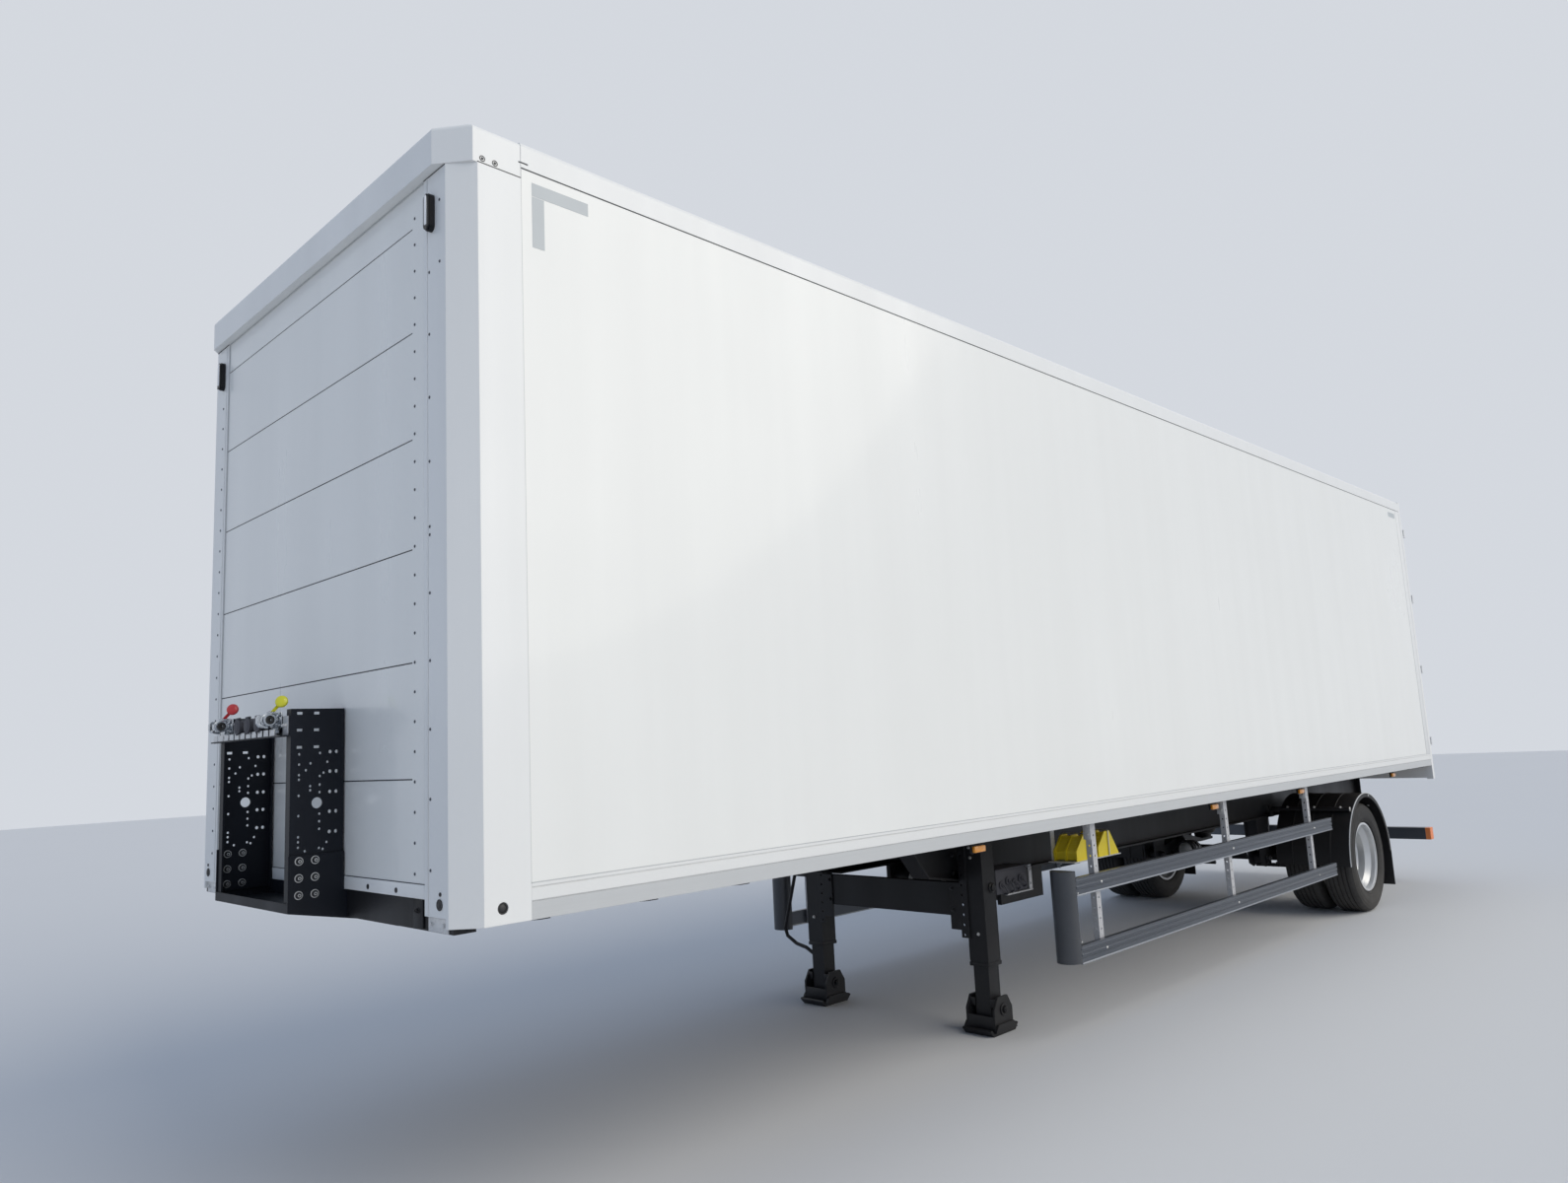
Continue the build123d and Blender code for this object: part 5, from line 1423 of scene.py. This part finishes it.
@dataclass
class WheelSet(Handed):
    """The twin wheels of one side: tyres, wheel nuts, hub trim and valves."""

    kind: str = "wheel"
    outer: float = 1.100
    inner: float = 0.789
    axle: float = 0.475
    nut_circle: float = 0.1675
    nut_count: int = 10
    nut_face: float = 0.9555
    hub_face: float = 1.0145
    hub_bolt_circle: float = 0.092
    cap_end: float = 1.0695
    cap_nut: Table = ((0.016, 0), (0.016, 0.010), (0.013, 0.012))
    outer_edge: Row = (0.281, 0.2985, 0.108, 0.1125)
    inner_edge: Row = (0.2405, 0.2495, -0.070, -0.064)
    segments: int = 180
    wall: Table = (
        (0.2863, 0.1000), (0.2900, 0.1025), (0.2980, 0.1030), (0.3040, 0.1042), (0.3050, 0.1090),
        (0.3110, 0.1190), (0.3150, 0.1235), (0.3185, 0.1250), (0.3220, 0.1240), (0.3230, 0.1215),
        (0.3300, 0.1255), (0.3420, 0.1300), (0.3440, 0.1302), (0.3448, 0.1316), (0.3468, 0.1318),
        (0.3476, 0.1306), (0.3560, 0.1325), (0.3700, 0.1342), (0.3840, 0.1348), (0.3980, 0.1345),
        (0.3988, 0.1358), (0.4008, 0.1358), (0.4016, 0.1343), (0.4140, 0.1325), (0.4280, 0.1290),
        (0.4290, 0.1301), (0.4312, 0.1294), (0.4320, 0.1278))
    shoulder: Table = (
        (0.4420, 0.1245), (0.4500, 0.1215), (0.4510, 0.1180), (0.4540, 0.1176), (0.4552, 0.1195),
        (0.4640, 0.1095), (0.4690, 0.1020), (0.4716, 0.0920))
    tread: Table = (
        (0.4725, 0.0800), (0.4630, 0.0785), (0.4630, 0.0720), (0.4730, 0.0705), (0.4745, 0.0440),
        (0.4645, 0.0425), (0.4645, 0.0360), (0.4748, 0.0345), (0.4750, 0.0060), (0.4650, 0.0045))

    def start(self, across: float = 0.0) -> Shape:
        """Return a new shape on the axle line, at a distance from the middle of the vehicle."""
        return Shape(middle(f"tyres_{self.end}"), self.side * across, self.axle)

    @property
    def out(self) -> Place:
        """Direction away from the middle of the vehicle."""
        return (0, self.side, 0)

    def tyres(self) -> None:
        """Build both tyres, with grooves round the tread and cuts across the shoulders."""
        half = self.wall + self.shoulder + self.tread
        outline = half + tuple((radius, -distance) for radius, distance in reversed(half))
        cut = {index for index, (radius, distance) in enumerate(outline)
               if radius > 0.4545 and abs(distance) > 0.09}

        def notch(step: int, index: int) -> float:
            """Return the depth of the cut across the shoulder at one step."""
            return 0.0045 if index in cut and step % 5 == 0 else 0.0

        shape = self.start()
        for across in (self.outer, self.inner):
            shape.lathe((0, self.side * across, 0), OUT, outline, self.segments, True, notch)
        shape.piece(f"tyre_treads_{self.end}", TYRE_BLACK, f"tyres_{self.end}", body=self.body,
                    smooth=28)

    def nuts(self) -> None:
        """Build the wheel nuts on their studs."""
        shape = self.start(self.nut_face)
        for x, z in circle(self.nut_circle, self.nut_count, 180 / self.nut_count):
            shape.nut((x, 0, z), self.out, 0.0185, 0.75)
        self.fit(shape, "wheel_nuts", FASTENER)

    def hub(self) -> None:
        """Build the bolts and rings of the hub's end and cap."""
        shape = self.start(self.hub_face)
        for x, z in circle(self.hub_bolt_circle, 8):
            shape.nut((x, 0, z), self.out, 0.0085, 0.0)
        rise = self.cap_end - self.hub_face
        for inner, outer, low, high, segments in (
                (0.078, 0.0825, 0.0035, 0.0095, 48), (0.078, 0.0820, 0.0355, 0.0495, 48),
                (0.018, 0.050, rise - 0.001, rise + 0.0015, 40)):
            shape.ring(HERE, self.out, inner, outer, low, high, segments)
        shape.lathe((0, self.side * rise, 0), self.out, self.cap_nut, 6)
        self.fit(shape, "hub_trim", HUB_IRON)

    def rings(self) -> None:
        """Build the rolled edge of the outer rim and the tyre valves."""
        shape, way = self.start(self.outer), self.side
        shape.ring(HERE, self.out, *self.outer_edge, 96)
        shape.ring(HERE, self.out, *self.inner_edge, 96)
        shape.rod((0.235, -0.078 * way, 0.03), (0.247, -0.003 * way, 0.03), 0.005, 14)
        shape.rod((0.246, -0.009 * way, 0.03), (0.248, 0.006 * way, 0.03), 0.0065, 14)
        self.fit(shape, "rim_edges", RIM_SILVER)

    def build(self) -> None:
        """Dress the wheels of this side and build their fittings."""
        dress(RIM_SILVER, f"rims_{self.end}")
        dress(HUB_IRON, f"hub_{self.end}")
        for part in (self.tyres, self.nuts, self.hub, self.rings):
            part()


@dataclass
class Mudguards:
    """The mudguards and flaps: edge beads, ribs and bolts."""

    radius: float = 0.561
    axle: float = 0.475
    outer: float = 1.262
    inner: float = 0.640

    def arc(self, radius: float, degrees: float, across: float) -> Place:
        """Return a point on an arc about the axle; 0 degrees points forwards."""
        return (radius * cos(radians(degrees)), across, radius * sin(radians(degrees)))

    def hoop(self, shape: Shape, radius: float, across: float, size: float) -> None:
        """Add a round bead that runs round the guard, given its place and its own radius."""
        shape.pipe([self.arc(radius, degrees, across) for degrees in range(-3, 181, 3)], size, 0.0,
                   8)

    def beads(self) -> None:
        """Build the rolled edges, pale as painted highlight, and the ribs that run round the
        guards.
        """
        radius, inner, outer = self.radius, self.inner, self.outer
        shape, edge = (Shape(middle("tyres_left"), 0, self.axle) for _ in range(2))
        # The bead along the outer edge is pale grey: a painted highlight on the black guard.
        self.hoop(edge, radius - 0.001, outer - 0.004, 0.005)
        edge.rivet(self.arc(radius - 0.018, 100, outer - 0.0005), OUT, 0.009)
        edge.pair("mudguard_edge_highlight_beads", RAIL_GREY)
        for drop, across, size in ((0.033, outer - 0.0035, 0.004), (0.002, inner + 0.004, 0.0045),
                                   (0, inner + 0.14, 0.006), (0, inner + 0.30, 0.006),
                                   (0, inner + 0.46, 0.006)):
            self.hoop(shape, radius - drop, across, size)
        shape.pair("mudguard_ribs", GUARD_PLASTIC)

    def washers(self) -> None:
        """Build the bolts that hold the guards to their stays."""
        shape = Shape(middle("tyres_left"), 0, self.axle)
        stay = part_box("mudguards")[1].y - 0.020
        for degrees in (50, 130):
            out = Vector(self.arc(1.0, degrees, 0))
            for across in (0.72, 0.95, 1.17):
                shape.nut(self.arc(self.radius + 0.041, degrees, across), out, 0.009, 0.5)
                shape.rivet(self.arc(self.radius - 0.006, degrees, across), -out, 0.012)
            shape.rod(*(self.arc(self.radius + 0.020, degrees, stay + shift)
                        for shift in (0, 0.004)), 0.0195, 24)
        shape.pair("mudguard_bolts", FASTENER)

    def flaps(self) -> None:
        """Build the ribs and the clamping bar of the rear flaps."""
        low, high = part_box("mud_flaps")
        inner, outer = self.inner, self.outer
        shape = Shape(low.x, 0, high.z)
        for across in steps(inner + 0.05, outer - 0.05, 0.065):
            shape.box((-0.003, across, low.z + 0.02 - high.z), (0.001, across + 0.010, -0.09),
                      0.001)
        shape.box((-0.006, inner + 0.01, -0.060), (0, outer - 0.01, -0.020), 0.002)
        for across in steps(inner + 0.06, outer - 0.05, 0.12):
            shape.nut((-0.006, across, -0.040), ASTERN, 0.008)
        shape.pair("flap_ribs", GUARD_PLASTIC)

    def build(self) -> None:
        """Dress the mudguards and build their fittings."""
        dress(GUARD_PLASTIC, "mudguards", "mud_flaps")
        for part in (self.beads, self.washers, self.flaps):
            part()


@dataclass
class RearEnd:
    """The underrun bar, its orange end caps, the tail lamps and the buffers."""

    lens_split: Row = (0.0, 0.115, 0.225, 0.340)

    def underrun(self) -> None:
        """Build the bolts and ribs of the underrun bar and its end caps."""
        low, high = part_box("underrun_bar")
        bolts = Shape()
        for across in (0.46, 0.54):
            for level in (0.452, 0.508):
                bolts.nut((high.x - 0.27, across, level), AHEAD, 0.010)
        for across in (0.30, 0.70, 1.0):
            bolts.rivet((low.x, across, 0.480), ASTERN, 0.010)
        bolts.pair("underrun_bolts", FASTENER)
        low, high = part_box("underrun_ends")
        ribs = Shape(0, high.y)
        for level in (0.432, 0.462, 0.492, 0.522):
            ribs.box((low.x + 0.006, -0.001, level), (high.x - 0.006, 0.003, level + 0.008), 0.001)
        ribs.box((low.x - 0.0015, -0.04, low.z + 0.012), (low.x, -0.006, high.z - 0.012), 0.0005)
        ribs.pair("underrun_end_ribs", END_ORANGE)

    def lamps(self) -> None:
        """Build the tail lamps: a housing with red, amber and clear lenses."""
        low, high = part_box("tail_lamps")
        inner, tall = -self.lens_split[-1], high.z - low.z
        place = (low.x, high.y, low.z)
        housing = Shape(*place)
        housing.box((0.004, inner, 0), (high.x - low.x, 0, tall), 0.006)
        for split in self.lens_split:
            housing.box((0.001, -split - 0.003, 0.002), (0.01, 0.003 - split, tall - 0.002),
                        0.001)
        for level in (0.0015, tall - 0.0065):
            housing.box((0.001, inner, level), (0.010, 0, level + 0.005), 0.001)
        housing.pair("tail_lamp_housings", LAMP_BLACK, "tail_lamps")
        for name, finish, index in (("amber", LENS_AMBER, 0), ("red", LENS_RED, 1),
                                    ("clear", LENS_CLEAR, 2)):
            near, far = self.lens_split[index] + 0.005, self.lens_split[index + 1] - 0.005
            shape = Shape(*place)
            shape.box((0, -far, 0.008), (0.010, -near, tall - 0.008), 0.004)
            for radius in (0.012, 0.022, 0.032):
                shape.ring((0.001, -(near + far) / 2, tall / 2), ASTERN, radius - 0.0015,
                           radius + 0.0015, -0.001, 0.0009)
            shape.pair(f"tail_lamp_{name}", finish)

    def plate(self) -> None:
        """Build the plate holder with its lamps, and the dock buffers."""
        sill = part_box("rear_frame")[0].z
        shape, buffers = Shape(REAR, 0, sill), Shape(REAR, 0, sill)
        shape.box((-0.004, -0.27, 0.014), (0, 0.27, 0.126), 0.001)
        for across in (0.15, -0.15):
            shape.box((-0.022, across - 0.03, 0.132), (0, across + 0.03, 0.150), 0.003)
        shape.piece("plate_holder", LAMP_BLACK)
        buffers.box((-0.045, 0.36, 0.010), (0, 0.44, 0.120), 0.010)
        for level in (0.035, 0.095):
            buffers.ring((-0.045, 0.40, level), ASTERN, 0.004, 0.011, -0.004, 0.0008)
        buffers.pair("dock_buffers", SEAL_BLACK)

    def build(self) -> None:
        """Dress the rear end and build its fittings."""
        dress(GUARD_GREY, "underrun_bar")
        dress(END_ORANGE, "underrun_ends")
        for part in (self.underrun, self.lamps, self.plate):
            part()


@dataclass
class MarkerLamps:
    """The front markers and the amber side markers."""

    housing: float = 0.021
    marker_backs: Row = (2.960, 5.850, 7.530, 10.000)
    half: float = 0.055
    outer: float = 1.215
    inner: float = 1.185
    levels: Row = (1.118, 1.162)

    def front(self) -> None:
        """Build the front marker lamps: rounded black housings with a clear strip."""
        low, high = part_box("front_markers")
        half, tall = self.housing, (high.z - low.z) / 2
        place = (low.x, high.y - half, (low.z + high.z) / 2)
        housing, lens = Shape(*place), Shape(*place)
        ends = circle(half, 24)
        outline = [(y, z + tall - half) for y, z in ends[:13]]
        outline += [(y, z - tall + half) for y, z in ends[12:] + ends[:1]]
        housing.prism([(0, y, z) for y, z in outline], (0.018, 0, 0))
        housing.prism([(0.018, y * 0.86, z * 0.955) for y, z in outline], (0.008, 0, 0))
        for level in (0.010 - tall, tall - 0.010):
            housing.rivet((0.026, 0.010, level), AHEAD, 0.004)
        housing.pair("front_marker_housings", LAMP_BLACK, "front_markers")
        lens.box((0.016, -0.008, 0.020 - tall), (high.x - low.x, 0.008, tall - 0.008), 0.005)
        lens.pair("front_marker_lenses", LENS_CLEAR)

    def sides(self) -> None:
        """Build the side marker lamps: a black base, a domed amber lens and its bracket."""
        base, lens, bracket = Shape(), Shape(), Shape()
        (low, high), half, deep = self.levels, self.half, self.outer - self.inner
        for back in self.marker_backs:
            for shape in (base, lens, bracket):
                shape.to(FACE - back, self.inner, 0)
            base.box((-half, 0, low), (half, 0.012, high), 0.003)
            lens.box((0.006 - half, 0.011, low + 0.005), (half - 0.006, deep, high - 0.005), 0.008)
            for shift in (-0.036, 0.036):
                lens.ring((shift, deep - 0.001, (low + high) / 2), OUT, 0.003, 0.007, -0.004,
                          0.0009)
            bracket.box((-0.040, -0.004, low), (0.040, 0, 1.178), 0.001)
            bracket.box((-0.040, -0.025, 1.174), (0.040, 0, 1.1795), 0.001)
            bracket.rivet((0, -0.012, 1.174), DOWN, 0.006)
        base.pair("side_marker_bases", LAMP_BLACK, "side_markers")
        lens.pair("side_marker_lenses", LENS_AMBER)
        bracket.pair("side_marker_brackets", GUARD_PLASTIC)

    def build(self) -> None:
        """Build the marker lamps."""
        self.front()
        self.sides()


@dataclass
class Chocks:
    """The yellow wheel chocks in their carrier, with the rods over them."""

    width: float = 0.160
    outer: float = 1.030
    bottom: float = 0.930
    rears: Row = (4.480, 4.745)
    outline: Table = ((0.002, 0.0), (0.253, 0.0), (0.255, 0.010), (0.255, 0.060), (0.168, 0.147),
                      (0.160, 0.150), (0.105, 0.150), (0.098, 0.147), (0.002, 0.008))
    core: Table = ((0.014, 0.006), (0.243, 0.006), (0.243, 0.050), (0.158, 0.136), (0.110, 0.136))

    def chocks(self) -> None:
        """Build the ribbed wedges and the retaining rods of the carrier."""
        wedges, rods, wide = Shape(), Shape(), self.width
        for back in self.rears:
            for shape in (wedges, rods):
                shape.to(FACE - back, self.outer - wide, self.bottom)
            for start in (0, 0.074, wide - 0.012):
                wedges.prism([(x, start, z) for x, z in self.outline], (0, 0.012, 0))
            wedges.prism([(x, 0.003, z) for x, z in self.core], (0, wide - 0.006, 0))
            for share in steps(0.05, 0.95, 0.1):
                x, z = 0.255 - 0.087 * share, 0.060 + 0.087 * share
                wedges.box((x - 0.012, 0.001, z - 0.014), (x - 0.003, wide - 0.001, z - 0.002),
                           0.001)
                x, z = 0.002 + 0.096 * share, 0.008 + 0.139 * share
                wedges.box((x + 0.002, 0.001, z - 0.010), (x + 0.008, wide - 0.001, z - 0.001),
                           0.001)
            for start, end, rise in ((0.105, 0.150, 0.060), (0.170, 0.220, 0.022)):
                wedges.box((start, wide - 0.002, rise), (end, wide - 0.0002, rise + 0.036), 0.001)
            rods.pipe([(0.130, -0.006, 0), (0.130, -0.006, 0.156), (0.130, wide + 0.006, 0.156),
                       (0.130, wide + 0.006, 0)], 0.004, 0.012)
        wedges.piece("chock_wedges", CHOCK_YELLOW, "wheel_chocks")
        rods.piece("chock_rods", FASTENER)

    def build(self) -> None:
        """Dress the carrier and build the chocks."""
        dress(ZINC, "chock_carrier")
        self.chocks()


@dataclass
class Studio:
    """The floor, the soft light, the pale background and the camera."""

    floor_size: float = 45.0
    floor_colour: Colour = (0.70, 0.70, 0.70)
    sky_colour: Colour = (0.33, 0.405, 0.54)
    background: Colour = (0.66, 0.69, 0.74)
    sun_energy: float = 1.88
    sun_colour: Colour = (1.0, 0.935, 0.815)
    sun_angle: float = 60.0
    sun_from: Place = (-0.34, 0.76, 0.56)
    eye: Place = (7.234, 4.528, 1.722)
    lens: float = 24.656
    yaw: float = 224.51
    pitch: float = 8.116
    roll: float = 2.822

    def add(self, name: str, data: bpy.types.ID) -> bpy.types.Object:
        """Put an object in the scene.

        Args:
            name: Its name.
            data: Its mesh, lamp or camera.

        Returns:
            The new object.
        """
        made = bpy.data.objects.new(name, data)
        bpy.context.scene.collection.objects.link(made)
        return made

    def floor(self) -> None:
        """Lay the plain pale floor."""
        made = bpy.data.materials.new("studio_floor")
        made.use_nodes = True
        graph = Graph(made.node_tree)
        shader = made.node_tree.nodes["Principled BSDF"]
        low = tuple(part * 0.985 for part in self.floor_colour) + (1.0,)
        shade = graph.noise(graph.place(), 0.35, 2.0)
        colour = graph.tone(shade, low, self.floor_colour + (1.0,))
        made.node_tree.links.new(colour, shader.inputs["Base Color"])
        shader.inputs["Roughness"].default_value = 0.8
        mesh = bmesh.new()
        bmesh.ops.create_circle(mesh, cap_ends=True, segments=96, radius=self.floor_size)
        data = bpy.data.meshes.new("floor")
        mesh.to_mesh(data)
        mesh.free()
        data.materials.append(made)
        floor = self.add("floor", data)
        floor.location.z = -0.0005

    def world(self) -> None:
        """Set the world's light and the background that the camera and gloss see."""
        made = bpy.data.worlds.new("studio")
        made.use_nodes = True
        made.node_tree.nodes.clear()
        graph = Graph(made.node_tree)
        light, pale = (graph.node("Background", {0: colour + (1.0,), 1: 1.0}).outputs[0]
                       for colour in (self.sky_colour, self.background))
        path = graph.node("LightPath").outputs
        seen = graph.maths("ADD", path["Is Camera Ray"], path["Is Glossy Ray"])
        seen = graph.maths("ADD", seen, path["Is Transmission Ray"])
        mixed = graph.node("MixShader", {0: seen, 1: light, 2: pale}).outputs[0]
        graph.node("OutputWorld", {"Surface": mixed})
        bpy.context.scene.world = made

    def lights(self) -> None:
        """Hang the one soft sun lamp, from the left and a little behind."""
        data = bpy.data.lights.new("sun", "SUN")
        data.energy = self.sun_energy
        data.color = self.sun_colour
        data.angle = radians(self.sun_angle)
        lamp = self.add("sun", data)
        lamp.rotation_mode = "QUATERNION"
        lamp.rotation_quaternion = Vector(self.sun_from).to_track_quat("Z", "Y")

    def camera(self) -> None:
        """Set the camera where the photograph was taken from."""
        data = bpy.data.cameras.new("camera")
        data.sensor_fit = "HORIZONTAL"
        data.sensor_width = 36.0
        data.lens = self.lens
        yaw, pitch, roll = (radians(turn) for turn in (self.yaw, self.pitch, self.roll))
        ahead = Vector((cos(yaw) * cos(pitch), sin(yaw) * cos(pitch), sin(pitch)))
        level = ahead.cross(Vector(UP)).normalized()
        drop = ahead.cross(level)
        right = level * cos(roll) + drop * sin(roll)
        down = drop * cos(roll) - level * sin(roll)
        turn = Matrix((right, -down, -ahead)).transposed()
        camera = self.add("camera", data)
        camera.matrix_world = Matrix.Translation(self.eye) @ turn.to_4x4()
        bpy.context.scene.camera = camera

    def build(self) -> None:
        """Set up the studio."""
        for part in (self.camera, self.floor, self.world, self.lights):
            part()
        bpy.context.scene.view_settings.view_transform = "Standard"


def main() -> None:
    """Build the studio and each sub-assembly in order."""
    logging.basicConfig(level=logging.INFO, format="%(message)s")
    assemblies = (Studio(), BoxBody(), RearDoor(LEFT), RearDoor(RIGHT), Console(), LandingGear(),
                  SideGuards(), Underframe(), Suspension(), WheelSet(LEFT), WheelSet(RIGHT),
                  Mudguards(), RearEnd(), MarkerLamps(), Chocks())
    for assembly in assemblies:
        log.info("building %s", type(assembly).__name__)
        assembly.build()


if __name__ == "__main__":
    main()
